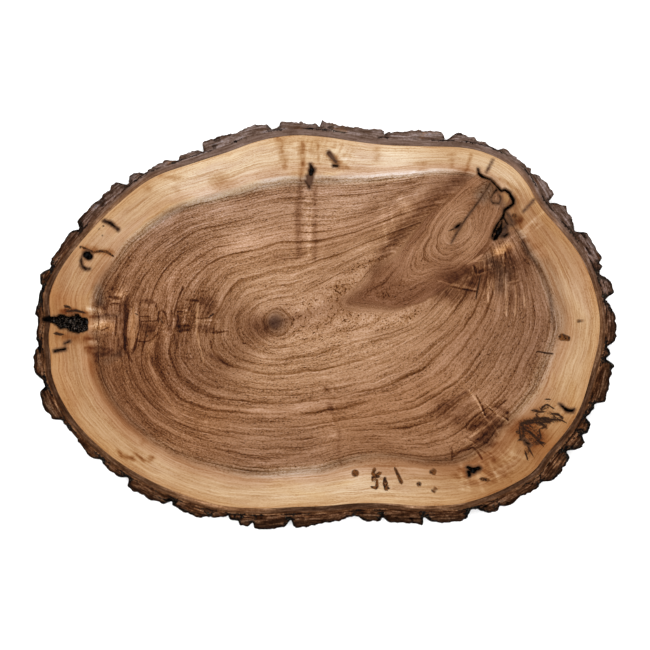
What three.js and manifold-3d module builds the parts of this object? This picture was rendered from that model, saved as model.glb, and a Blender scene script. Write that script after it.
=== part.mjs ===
// A wood slice: an oval cross-cut of a walnut trunk, sawn flat on both faces, with its bark still on.
// Millimetres, +Z up. The slice lies on its lower sawn face, with its long way along X.
// It has two bodies of their own colour: the wood, and the ring of bark that grew round it.
import * as THREE from "three";
import { ParametricGeometry } from "three/addons/geometries/ParametricGeometry.js";
import { mergeVertices } from "three/addons/utils/BufferGeometryUtils.js";
import Module from "manifold-3d";

const wasm = await Module();
wasm.setup();

// Driving dimensions
const THICKNESS = 28; // between the two sawn faces
const CAMBIUM_GAP = 0.45; // between the wood and the bark that rings it
const INNER_BARK = 4.6; // the smooth live bark next to the wood
const FISSURE_SHARE = 0.68; // bark left under a fissure, as a share of the lower plate beside it
const FISSURE_FLOOR = 5.4; // least bark left under a fissure
const EDGE_STEP = 2; // degrees between points on the wood's edge
const PLATE_STEP = 2; // most degrees between points along a bark plate
const PLATE_CORNER = 0.45; // degrees over which a plate's broken end rises
const PLATE_HOLLOW = 0.14; // most by which a plate's face falls back below the saw cut, as a share
const CUT_EDGE_CHIP = 2.2; // most that the outer bark has crumbled below the upper sawn face
const FACE_HEIGHTS = [0.14, 0.36, 0.6, 0.84]; // levels on the bark's outer face, as shares of THICKNESS

// The wood's edge: radius from the slice's middle at angles in degrees, anticlockwise from +X
const WOOD_EDGE = [
  [0, 211.5], [8, 208.5], [15, 203.5], [20, 197.5], [26, 190.8], [30, 188.6], [35, 189.6], [40, 188.5],
  [45, 183.5], [50, 176.5], [60, 158.5], [70, 147], [80, 143], [90, 144.5], [100, 148], [110, 150.5],
  [120, 153], [130, 161.5], [140, 175], [150, 185], [160, 197], [168, 208], [174, 213.5], [179, 211.5],
  [183, 213.5], [186, 212.8], [191, 214], [200, 207.5], [210, 195.5], [220, 182.5], [230, 170.5], [240, 160.5],
  [250, 150.5], [260, 142.5], [270, 139.5], [280, 139.5], [290, 146.5], [300, 161], [308, 174],
  [320, 190], [325, 196], [330, 197.5], [340, 205.5], [350, 208],
];

// Bark plates, anticlockwise: where each starts and ends in degrees, and how thick the bark is from the
// wood outwards at the plate's start, middle and end. A fissure lies between plates that don't meet.
const PLATES = [
  [-4.2, 4.8, 13.4, 12.4, 9.5], [5.5, 9.9, 13.5, 14.4, 14], [11, 12.6, 11, 12, 12], [12.9, 20.2, 15, 14.8, 16],
  [21.1, 22.8, 11, 11, 11], [22.8, 26.9, 13, 14, 15.4], [26.9, 28.6, 12, 12, 11], [29, 36.2, 14.5, 13.5, 10],
  [36.4, 45.4, 9, 7.8, 10], [46.4, 56.4, 6.5, 10, 14], [57, 59, 9, 11, 13], [59, 72.6, 15, 12.5, 10.5],
  [73, 91.6, 12.5, 10.5, 12.5], [91.9, 103.3, 9, 10, 12.5], [105.4, 115, 10.5, 13, 11.5],
  [115, 124.9, 11.5, 14.8, 14], [125.2, 131.8, 9, 9.6, 9.4], [132.2, 139.6, 8.4, 10, 8.5],
  [140.2, 143.8, 10.5, 12, 11], [145, 158, 15.5, 13.2, 14.8], [159.2, 167.8, 13, 10.8, 11.2],
  [168.6, 172.4, 12, 11.5, 9.5], [172.8, 178.8, 7.6, 9, 12.5], [179.8, 183.6, 8.5, 8.8, 10],
  [184.2, 191.5, 11.5, 13.5, 9.2], [192.4, 199.8, 13.5, 15, 14.6], [199.9, 202.8, 9.5, 8.6, 7.4],
  [203.2, 210.8, 8, 10.2, 11], [211.4, 217.6, 9.4, 10.8, 10.8], [218.6, 228.6, 14.2, 14.2, 13.6],
  [229.2, 238, 11.5, 13.6, 13.4], [238, 242.8, 12, 10.8, 9.8], [243.1, 246.4, 10.8, 11.2, 11],
  [246.4, 249.8, 14.8, 15.6, 15.2], [250, 259.6, 16.6, 17, 15.6], [260.2, 267, 15.8, 16, 15.6],
  [267, 274, 13.8, 13, 12.6], [274, 280.6, 12, 10.2, 11.6], [280.6, 286.3, 13.6, 14.6, 14.8],
  [286.8, 296.8, 15.6, 16.4, 16], [297.4, 301, 13.8, 14.6, 14.4], [301, 308, 16.4, 15.6, 11],
  [309.8, 313.8, 13.4, 15, 14.6], [314, 322, 14.6, 13, 13.4], [322, 325, 12.4, 11.8, 12],
  [325, 332.2, 16, 17.6, 16.4], [332.6, 336.6, 15, 18, 16], [336.8, 340.3, 14.8, 14.6, 14],
  [340.7, 343.6, 9.8, 10, 10.4], [343.8, 352.9, 16.4, 16.6, 16], [353.2, 355.3, 11, 10.4, 10.4],
];

// Hollows in the upper face, each a half ellipsoid: middle x and y, half length, half width, depth, and the
// turn of its length from +X in degrees. The first is the bark pocket that breaks through the wood's edge.
const HOLLOWS = [
  [-200, 1, 17, 5.5, 9, -6], [-12, 113, 6.5, 2.8, 6, 80], [-185, 52, 3.2, 2.8, 5, 0],
  [-174, 77, 4.6, 1.9, 3, -25], [128, 111, 8.5, 1.4, 5, -38], [144, 92, 7, 1.6, 6, -68],
  [135, 72, 8, 2.6, 7, 58], [114, -112, 4.4, 2.8, 5, 25], [186.5, -63, 4.6, 1.8, 4, -35],
  [-206, -19, 3.6, 1.2, 2, 12],
];
const HOLLOW_SIDES = 16;
const HOLLOW_RINGS = 8;

// Radius of the wood's edge at any angle, by a smooth cubic through WOOD_EDGE
function woodRadius(degrees) {
  const angle = THREE.MathUtils.euclideanModulo(degrees, 360);
  const count = WOOD_EDGE.length;
  const at = WOOD_EDGE.findIndex(([start], i) => angle < (WOOD_EDGE[i + 1]?.[0] ?? 360) && angle >= start);
  const point = (i) => {
    const turns = Math.floor((at + i) / count);
    const [start, radius] = WOOD_EDGE[THREE.MathUtils.euclideanModulo(at + i, count)];
    return [start + 360 * turns, radius];
  };
  const [before, left, right, after] = [point(-1), point(0), point(1), point(2)];
  const span = right[0] - left[0];
  const slope = (a, b) => ((b[1] - a[1]) / (b[0] - a[0])) * span;
  const t = (angle - left[0]) / span;
  const leave = slope(before, right);
  const arrive = slope(left, after);
  return (
    left[1] * (2 * t ** 3 - 3 * t ** 2 + 1) +
    leave * (t ** 3 - 2 * t ** 2 + t) +
    right[1] * (3 * t ** 2 - 2 * t ** 3) +
    arrive * (t ** 3 - t ** 2)
  );
}

const polar = (degrees, radius) =>
  new THREE.Vector2(radius, 0).rotateAround(new THREE.Vector2(), THREE.MathUtils.degToRad(degrees));

// Closed mesh to manifold solid and back
function solidOf(geometry) {
  geometry.deleteAttribute("normal");
  geometry.deleteAttribute("uv");
  const merged = mergeVertices(geometry, 1e-3);
  return new wasm.Manifold(
    new wasm.Mesh({
      numProp: 3,
      vertProperties: merged.attributes.position.array,
      triVerts: new Uint32Array(merged.index.array),
    }),
  );
}

function geometryOf(solid) {
  const mesh = solid.getMesh();
  return new THREE.BufferGeometry()
    .setAttribute("position", new THREE.BufferAttribute(mesh.vertProperties, 3))
    .setIndex(new THREE.BufferAttribute(mesh.triVerts, 1));
}

// The wood: the trunk's outline sawn straight through, with knots and bark pockets hollowed into its top
function makeWood() {
  const outline = [];
  for (let angle = 0; angle < 360; angle += EDGE_STEP) outline.push(polar(angle, woodRadius(angle)));
  const block = new THREE.ExtrudeGeometry(new THREE.Shape(outline), { depth: THICKNESS, bevelEnabled: false });
  let wood = solidOf(block);
  for (const [x, y, halfLength, halfWidth, depth, turn] of HOLLOWS) {
    const hollow = new THREE.SphereGeometry(1, HOLLOW_SIDES, HOLLOW_RINGS)
      .rotateX(Math.PI / 2)
      .scale(halfLength, halfWidth, depth)
      .rotateZ(THREE.MathUtils.degToRad(turn))
      .translate(x, y, THICKNESS);
    wood = wood.subtract(solidOf(hollow));
  }
  return geometryOf(wood);
}

// Seeded draw in 0 to 1, the same on every run
function seededDraw(seed) {
  let state = seed;
  return () => {
    state = (Math.imul(state, 1664525) + 1013904223) >>> 0;
    return state / 2 ** 32;
  };
}

// Columns round the bark: the angle, the bark's thickness there and how far its face falls back at each
// level. A plate has columns along its face and, beside a fissure, one at the fissure's floor.
function barkColumns() {
  const draw = seededDraw(11);
  const straight = FACE_HEIGHTS.map(() => 0);
  const floorBetween = (a, b) => Math.max(FISSURE_FLOOR, FISSURE_SHARE * Math.min(a, b));
  const columns = [];
  PLATES.forEach(([start, end, first, middle, last], i) => {
    const before = PLATES.at(i - 1);
    const after = PLATES[(i + 1) % PLATES.length];
    const fissureBefore = { angle: start, thickness: floorBetween(before[4], first), fallBack: straight };
    const fissureAfter = { angle: end, thickness: floorBetween(last, after[2]), fallBack: straight };
    const fallBack = FACE_HEIGHTS.map(() => PLATE_HOLLOW * draw());
    const [from, to] = [start + PLATE_CORNER, end - PLATE_CORNER];
    const steps = Math.max(2, Math.ceil((to - from) / PLATE_STEP));
    if (THREE.MathUtils.euclideanModulo(start - before[1], 360) > 0) columns.push(fissureBefore);
    for (let k = 0; k <= steps; k++) {
      const t = k / steps;
      const thickness = first * (1 - t) * (1 - 2 * t) + 4 * middle * t * (1 - t) + last * t * (2 * t - 1);
      columns.push({ angle: THREE.MathUtils.lerp(from, to, t), thickness, fallBack });
    }
    if (THREE.MathUtils.euclideanModulo(after[0] - end, 360) > 0) columns.push(fissureAfter);
  });
  return columns;
}

// How far a fissure has leaned round the trunk, in degrees, at a depth below the upper face
const fissureLean = (angle, depth) => {
  const turn = THREE.MathUtils.degToRad(angle);
  return depth * (0.018 * Math.sin(3 * turn + 1) + 0.01 * Math.sin(8 * turn));
};

// How much the outer bark has crumbled at the upper saw cut
const cutChip = (angle) => {
  const turn = THREE.MathUtils.degToRad(angle);
  return CUT_EDGE_CHIP * (0.55 + 0.3 * Math.sin(23 * turn) + 0.15 * Math.sin(61 * turn + 2));
};

// The bark: a closed ring. Its section runs out along the lower saw cut, up the plates' uneven faces, in
// over the upper saw cut and down beside the wood.
function makeBark() {
  const columns = barkColumns();
  const levels = ["inner foot", "outer foot", ...FACE_HEIGHTS, "cut edge", "inner bark", "inner top"];
  const place = (column, level, target) => {
    const { angle, thickness, fallBack } = column;
    let [turn, height, out] = [angle, THICKNESS, CAMBIUM_GAP];
    if (level === "inner foot") height = 0;
    if (level === "inner bark") out = INNER_BARK;
    if (level === "cut edge") [height, out] = [THICKNESS - cutChip(angle), thickness];
    if (level === "outer foot") [height, out] = [0, thickness];
    if (typeof level === "number") {
      height = level * THICKNESS;
      out = thickness * (1 - fallBack[FACE_HEIGHTS.indexOf(level)]);
    }
    if (out > INNER_BARK) turn += fissureLean(angle, THICKNESS - height);
    const spot = polar(turn, woodRadius(turn) + out);
    target.set(spot.x, spot.y, height);
  };
  const surface = (u, v, target) => {
    const column = columns[Math.round(u * columns.length) % columns.length];
    place(column, levels[Math.round(v * levels.length) % levels.length], target);
  };
  return geometryOf(solidOf(new ParametricGeometry(surface, columns.length, levels.length)));
}

function piece(name, geometry, color, roughness) {
  geometry.computeVertexNormals();
  const mesh = new THREE.Mesh(geometry, new THREE.MeshStandardMaterial({ color, roughness, metalness: 0 }));
  mesh.name = name;
  return mesh;
}

const slice = new THREE.Group();
slice.add(piece("wood", makeWood(), 0xa9794f, 0.55));
slice.add(piece("bark", makeBark(), 0x4a3428, 0.95));

// The origin is at the middle of the slice's box, on the lower sawn face
const middle = new THREE.Box3().setFromObject(slice).getCenter(new THREE.Vector3());
slice.position.set(-middle.x, -middle.y, 0);

export default slice;
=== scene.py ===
import math

import bpy
import mathutils
import numpy as np
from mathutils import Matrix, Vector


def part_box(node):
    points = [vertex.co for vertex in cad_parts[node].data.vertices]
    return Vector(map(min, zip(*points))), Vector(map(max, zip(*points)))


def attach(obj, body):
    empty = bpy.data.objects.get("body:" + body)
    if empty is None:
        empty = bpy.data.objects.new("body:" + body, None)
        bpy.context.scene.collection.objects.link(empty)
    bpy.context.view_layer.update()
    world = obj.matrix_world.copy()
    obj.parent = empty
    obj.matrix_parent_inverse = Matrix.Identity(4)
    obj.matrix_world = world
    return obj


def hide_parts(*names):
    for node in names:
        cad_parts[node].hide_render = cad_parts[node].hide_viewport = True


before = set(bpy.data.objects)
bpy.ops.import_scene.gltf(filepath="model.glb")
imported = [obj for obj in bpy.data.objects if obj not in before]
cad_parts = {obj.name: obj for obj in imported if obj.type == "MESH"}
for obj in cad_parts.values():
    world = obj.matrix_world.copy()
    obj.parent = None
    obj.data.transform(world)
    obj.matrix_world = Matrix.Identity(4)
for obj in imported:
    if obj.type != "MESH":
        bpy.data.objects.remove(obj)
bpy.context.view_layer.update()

# The wood: a disc sawn across a walnut trunk and sanded flat, with dark heartwood inside pale sapwood.
# A branch left the trunk on one side, so the trunk's rings part round a long knot with rings of its own.
# The face is flat but for checks, small knots and a pocket of black bark, which lie below it.
UNIT = 0.00077
WOOD_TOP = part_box("wood")[1].z
PITH = (-52.0, 1.8)
FACE_COLUMNS = 600
FACE_ROWS = ((0.0, 0.3, 18), (0.3, 0.72, 60), (0.72, 1.0, 76))
FAR = 20.0

# Directions round the pith, in degrees, that hold the openings, where the face's columns lie closer.
OPENING_SPANS = ((18, 39), (66, 80), (146, 193), (297, 310), (322, 347))

# Shape of the growth rings: how far out each marked ring lies between the pith and the wood's edge, as a
# share, at angles round the pith in degrees.
RING_ANGLES = (
    0, 5, 10, 15, 20, 25, 30, 34, 37, 40, 45, 50, 60, 70, 80, 90, 100, 110, 120, 130, 140, 150, 160, 170,
    180, 190, 200, 210, 220, 230, 240, 250, 260, 270, 280, 290, 300, 305, 310, 315, 320, 325, 330, 335,
    340, 345, 350, 355,
)
RING_LEVELS = (0.0, 0.065, 0.15, 0.285, 0.51, 0.81, 1.0)
CORE_RADIUS = 14.0
RING_SHARES = (
    (
        0.41, 0.47, 0.53, 0.60, 0.64, 0.66, 0.64, 0.50, 0.36, 0.29, 0.23, 0.20, 0.175, 0.16, 0.155, 0.15,
        0.15, 0.15, 0.15, 0.15, 0.15, 0.15, 0.15, 0.15, 0.15, 0.15, 0.15, 0.15, 0.15, 0.15, 0.15, 0.15,
        0.155, 0.155, 0.155, 0.155, 0.15, 0.15, 0.148, 0.146, 0.145, 0.147, 0.15, 0.16, 0.175, 0.195,
        0.235, 0.32,
    ),
    (
        0.49, 0.54, 0.60, 0.66, 0.70, 0.72, 0.72, 0.66, 0.55, 0.48, 0.41, 0.38, 0.335, 0.31, 0.30, 0.295,
        0.29, 0.295, 0.295, 0.295, 0.29, 0.275, 0.26, 0.265, 0.28, 0.29, 0.30, 0.31, 0.305, 0.295, 0.285,
        0.28, 0.28, 0.285, 0.285, 0.285, 0.28, 0.27, 0.265, 0.262, 0.265, 0.272, 0.285, 0.305, 0.33, 0.36,
        0.395, 0.44,
    ),
    (
        0.645, 0.68, 0.715, 0.75, 0.78, 0.80, 0.81, 0.82, 0.80, 0.70, 0.61, 0.565, 0.53, 0.51, 0.50, 0.49,
        0.49, 0.50, 0.515, 0.525, 0.535, 0.545, 0.53, 0.505, 0.51, 0.545, 0.575, 0.59, 0.59, 0.57, 0.54,
        0.515, 0.51, 0.51, 0.515, 0.515, 0.505, 0.495, 0.48, 0.465, 0.46, 0.475, 0.50, 0.525, 0.55, 0.575,
        0.595, 0.62,
    ),
    (
        0.87, 0.86, 0.855, 0.865, 0.88, 0.89, 0.895, 0.90, 0.89, 0.87, 0.845, 0.825, 0.795, 0.77, 0.75,
        0.745, 0.755, 0.765, 0.775, 0.785, 0.80, 0.81, 0.80, 0.80, 0.79, 0.79, 0.80, 0.805, 0.81, 0.815,
        0.81, 0.80, 0.805, 0.81, 0.805, 0.795, 0.76, 0.735, 0.725, 0.745, 0.80, 0.82, 0.82, 0.82, 0.83,
        0.84, 0.85, 0.86,
    ),
)

# The branch knot: its outline, and the line of its pith from where it leaves the trunk, in UNITs.
KNOT_OUTLINE = (
    (22, 22), (41, 41), (52, 56), (71, 68), (85, 86), (102, 108), (129, 130), (141, 143), (154, 152),
    (166, 144), (175, 135), (186, 130), (188, 123), (180, 115), (175, 103), (169, 87), (165, 78),
    (153, 63), (137, 48), (115, 33), (95, 22), (71, 16), (41, 19),
)
KNOT_AXIS = ((15, 19), (41, 25), (66, 34), (83, 47), (100, 67), (117, 78), (133, 98), (153, 125), (167, 145))
KNOT_PITH_AT = 147.0
KNOT_REACH = ((-147, -120, -93, -72, -46, -26, 0, 18, 40, 60), (29, 28, 26.5, 24.5, 20, 12, 0, 11, 17, 21))
KNOT_HALF_WIDTHS = (28.0, 37.0)

# Openings in the face: how deep each goes in millimetres, and its path of x, y and half width in UNITs.
OPENINGS = (
    (9.0, (
        (-281, 5.5, 2.0), (-275, 6, 3), (-268, 5, 4.6), (-260, 2.6, 6.8), (-252, 1, 9.2),
        (-246, 0.4, 8.6),
    )),
    (5.0, (
        (153.3, 155.8, 0.7), (154, 151.2, 1.5), (157.8, 148.2, 1.1), (165.5, 145.5, 0.8),
        (171.6, 139, 1.1), (176.2, 134, 1.2), (180, 135.2, 1.1), (184.6, 132.1, 1.4), (188.5, 125.2, 1.7),
        (188.5, 121.4, 1.2), (184.6, 118.3, 1.5), (180, 115.3, 1.8), (178.5, 109.1, 1.3), (174, 103, 1.2),
        (170, 96.1, 1.4), (167.8, 90, 1.2), (167, 86.2, 0.8),
    )),
    (3.0, (
        (171.6, 135.2, 1.6), (169, 132, 0.9), (167.8, 130.6, 0.7), (165.5, 126, 0.7), (167.8, 122.2, 0.7),
        (173.1, 121.4, 0.6),
    )),
    (4.0, ((178.5, 107.6, 1.1), (181.6, 103, 1.1), (183, 100.7, 1.0))),
    (5.0, ((177.5, 104.5, 0.8), (176.5, 99.5, 1.8), (174, 93.5, 2.8), (171, 88, 2.4), (169, 85.2, 1.0))),
    (3.4, (
        (165.5, 142, 0.4), (161, 134.4, 0.4), (154.8, 125.2, 0.4), (147, 114.5, 0.4), (140.2, 105.3, 0.4),
        (132.6, 93.8, 0.4), (126.5, 82.4, 0.3),
    )),
    (0.8, ((167.8, 165, 0.3), (164.7, 159, 0.5), (161.3, 153.1, 0.5))),
    (0.8, ((209, 125.2, 0.4), (203, 118.3, 0.6), (198.4, 113.4, 0.3))),
    (3.2, ((-14.5, 160.5, 0.8), (-13.4, 155, 3.0), (-13.8, 151.5, 2.8))),
    (1.3, ((-15, 148, 3.2), (-16, 142, 3.2), (-16, 138, 1.6))),
    (3.2, ((-19.4, 144, 0.8), (-16, 138.5, 1.2), (-15, 136.8, 0.8))),
    (1.6, ((4, 172, 1.8), (7, 168, 1.8), (11, 163, 1.2))), (3.2, ((8.6, 159.4, 1.3), (12.2, 159.2, 1.2))),
    (4.0, ((-238.5, 70.4, 4.2), (-236.4, 68.6, 3.4))),
    (3.2, ((-243.6, 67, 0.8), (-244, 63, 0.9), (-243, 59, 0.9), (-239.5, 56, 1.4), (-236, 56, 1.0))),
    (2.6, ((-221, 104, 1.3), (-214, 101.6, 2.0), (-207, 95.5, 1.5))),
    (5.0, ((143, -142.5, 2.0), (148, -145.5, 3.0), (154, -143.5, 2.2))),
    (4.0, ((144, -147, 2.6), (144.5, -151, 1.6))),
    (4.0, (
        (234.2, -78.7, 0.6), (238.3, -82.2, 1.1), (242.3, -85.3, 1.9), (247.4, -85.8, 1.6),
        (249.5, -83.8, 0.5),
    )),
    (3.4, ((199, -115, 1.0), (202, -118, 1.6), (204.5, -119.5, 1.0))),
    (4.0, ((-270.5, -26.2, 1.3), (-260, -24, 1.5))), (3.4, ((-260.5, -18.6, 1.0), (-255.5, -16.4, 1.0))),
    (3.6, ((130.5, 97.5, 1.4), (133, 99, 2.2), (136, 101.5, 1.0))),
    (2.8, ((179.5, 88.6, 2.2), (183, 91, 1.8))),
    (2.0, ((181, 102, 1.8), (180, 95, 3.2), (176.5, 89, 2.6))),
    (2.6, ((173, 132, 0.6), (176, 127, 0.7), (174.5, 121.5, 0.6))),
    (2.4, ((181, 113, 0.6), (185, 108, 0.8), (187.5, 102.5, 0.7))),
)

# Small brown marks in the sapwood, insect tracks and pin knots, as paths of x, y and half width in UNITs.
TRACKS = (
    ((30.2, -148.2, 2.6),),
    ((49.3, -145, 1.3), (47.4, -149, 0.9), (50.6, -151, 1.3), (54.4, -148.5, 1.3)),
    ((53.2, -151.7, 1), (47.4, -152.3, 0.8), (47.4, -154.9, 0.7)),
    ((51.9, -155.5, 0.8), (51.9, -161.3, 1.2), (51, -163.5, 0.9), (46.8, -161.9, 0.8)),
    ((59.5, -153.6, 0.9), (58.6, -158.7, 0.7), (60.5, -164.4, 0.9), (62, -158, 0.7), (60, -154, 0.8)),
    ((60.5, -164, 0.8), (63.4, -163.5, 0.8)), ((70.4, -144, 0.9), (72.9, -149.8, 1.1), (76, -156.8, 1.4)),
    ((108, -146.9, 2.6),), ((94, -159, 1.7),), ((109.3, -165, 2.2),),
    ((237, -12, 2.6), (243, -13.5, 1.8)), ((253, 4, 1.1), (258, 4.2, 0.9)),
    ((-231.7, 72.6, 0.8), (-224, 74, 0.9), (-218.5, 73.4, 0.9), (-212, 69, 0.6)),
    ((-242, 77.5, 0.7), (-233, 73.5, 0.7)), ((157, -154, 1.3), (163, -155, 1.1)), ((189.2, 109.1, 1.7),),
)

# Dark strokes: fine checks, and the torn grain of a bark pocket that has healed over, in the same form.
MARKS = (
    ((213, -26.5, 0.6), (221, -28, 0.9), (227.5, -29, 0.8)), ((125, 94.6, 0.5), (131, 97, 1)),
    ((-244.5, 78, 1.1),), ((-221.5, 99, 0.8),), ((-226, 96, 0.7),), ((-222.5, 89.5, 0.8),),
    ((-259, 18.5, 1.3), (-256, 18, 1.1)), ((-269, -8.5, 1.4), (-263, -9.5, 1)),
    ((-258, 13.6, 0.8), (-249, 14.4, 1.3), (-241, 12.4, 0.8)),
    (
        (196.4, -98.6, 1.2), (203.6, -95.5, 0.9), (210.7, -95, 0.9), (216.8, -93, 1.2), (226, -94.5, 1.2),
        (236.2, -95, 0.8), (240.8, -97.6, 0.4),
    ),
    ((197, -98.6, 1.0), (206.6, -97.6, 0.7), (215.8, -97.6, 1.0), (226, -96.5, 0.7)),
    ((207, -85.3, 0.6), (212.8, -86.8, 0.9), (218.9, -86.8, 0.8)),
    ((215.8, -84.3, 0.7), (218.4, -81.2, 0.7), (222, -79.2, 0.7), (228.6, -83.5, 0.5)),
    ((221, -74.3, 0.6), (224.5, -74.3, 0.6)),
    ((228.6, -88.4, 0.8), (233.2, -89.6, 1.3), (237.8, -92.2, 0.4)),
    ((211.7, -90.4, 0.8), (213, -92, 0.6)), ((215.8, -98.6, 0.9), (221, -102, 1), (216.8, -103.2, 0.8)),
    ((214.3, -104.7, 0.7), (215.8, -112.3, 0.7)),
    (
        (196.4, -100, 0.7), (201.5, -105.7, 0.8), (207.7, -109.8, 0.7), (211.7, -115, 0.7),
        (218.4, -121, 0.4),
    ),
    ((203.6, -105.2, 0.6), (209.7, -110.3, 0.6), (215.8, -117, 0.6), (220, -118, 0.4)),
    ((194.4, -102.7, 0.6), (195.4, -110.8, 0.6)), ((191.8, -106.7, 1),),
    ((194.4, -115, 1.2), (198, -113.4, 1.6), (201.5, -118, 2), (204.6, -119.5, 1.4)),
    ((197.4, -103.7, 0.6), (199.5, -112, 0.6)),
    ((203, -121.5, 0.9), (205.6, -126.6, 0.8), (208.2, -131.2, 0.3)),
    ((200.5, -128.2, 0.9), (202.6, -133.8, 0.6)),
    (
        (165.5, 142, 0.5), (161, 134.4, 0.5), (154.8, 125.2, 0.5), (147, 114.5, 0.55),
        (140.2, 105.3, 0.6), (126.5, 82.4, 0.4),
    ),
    ((155.6, 49.8, 0.3), (153.9, 41.2, 0.6), (152.1, 33.7, 0.8), (151, 26.3, 0.5)),
    ((-164.7, 5.6, 0.3), (-162.4, 2.7, 0.5)), ((-177.6, -10.8, 0.9),),
    ((-115, 8.7, 0.6), (-112, 10.7, 0.8)), ((-189.4, 11.3, 0.4), (-188, 10.6, 0.5)),
)

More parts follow.
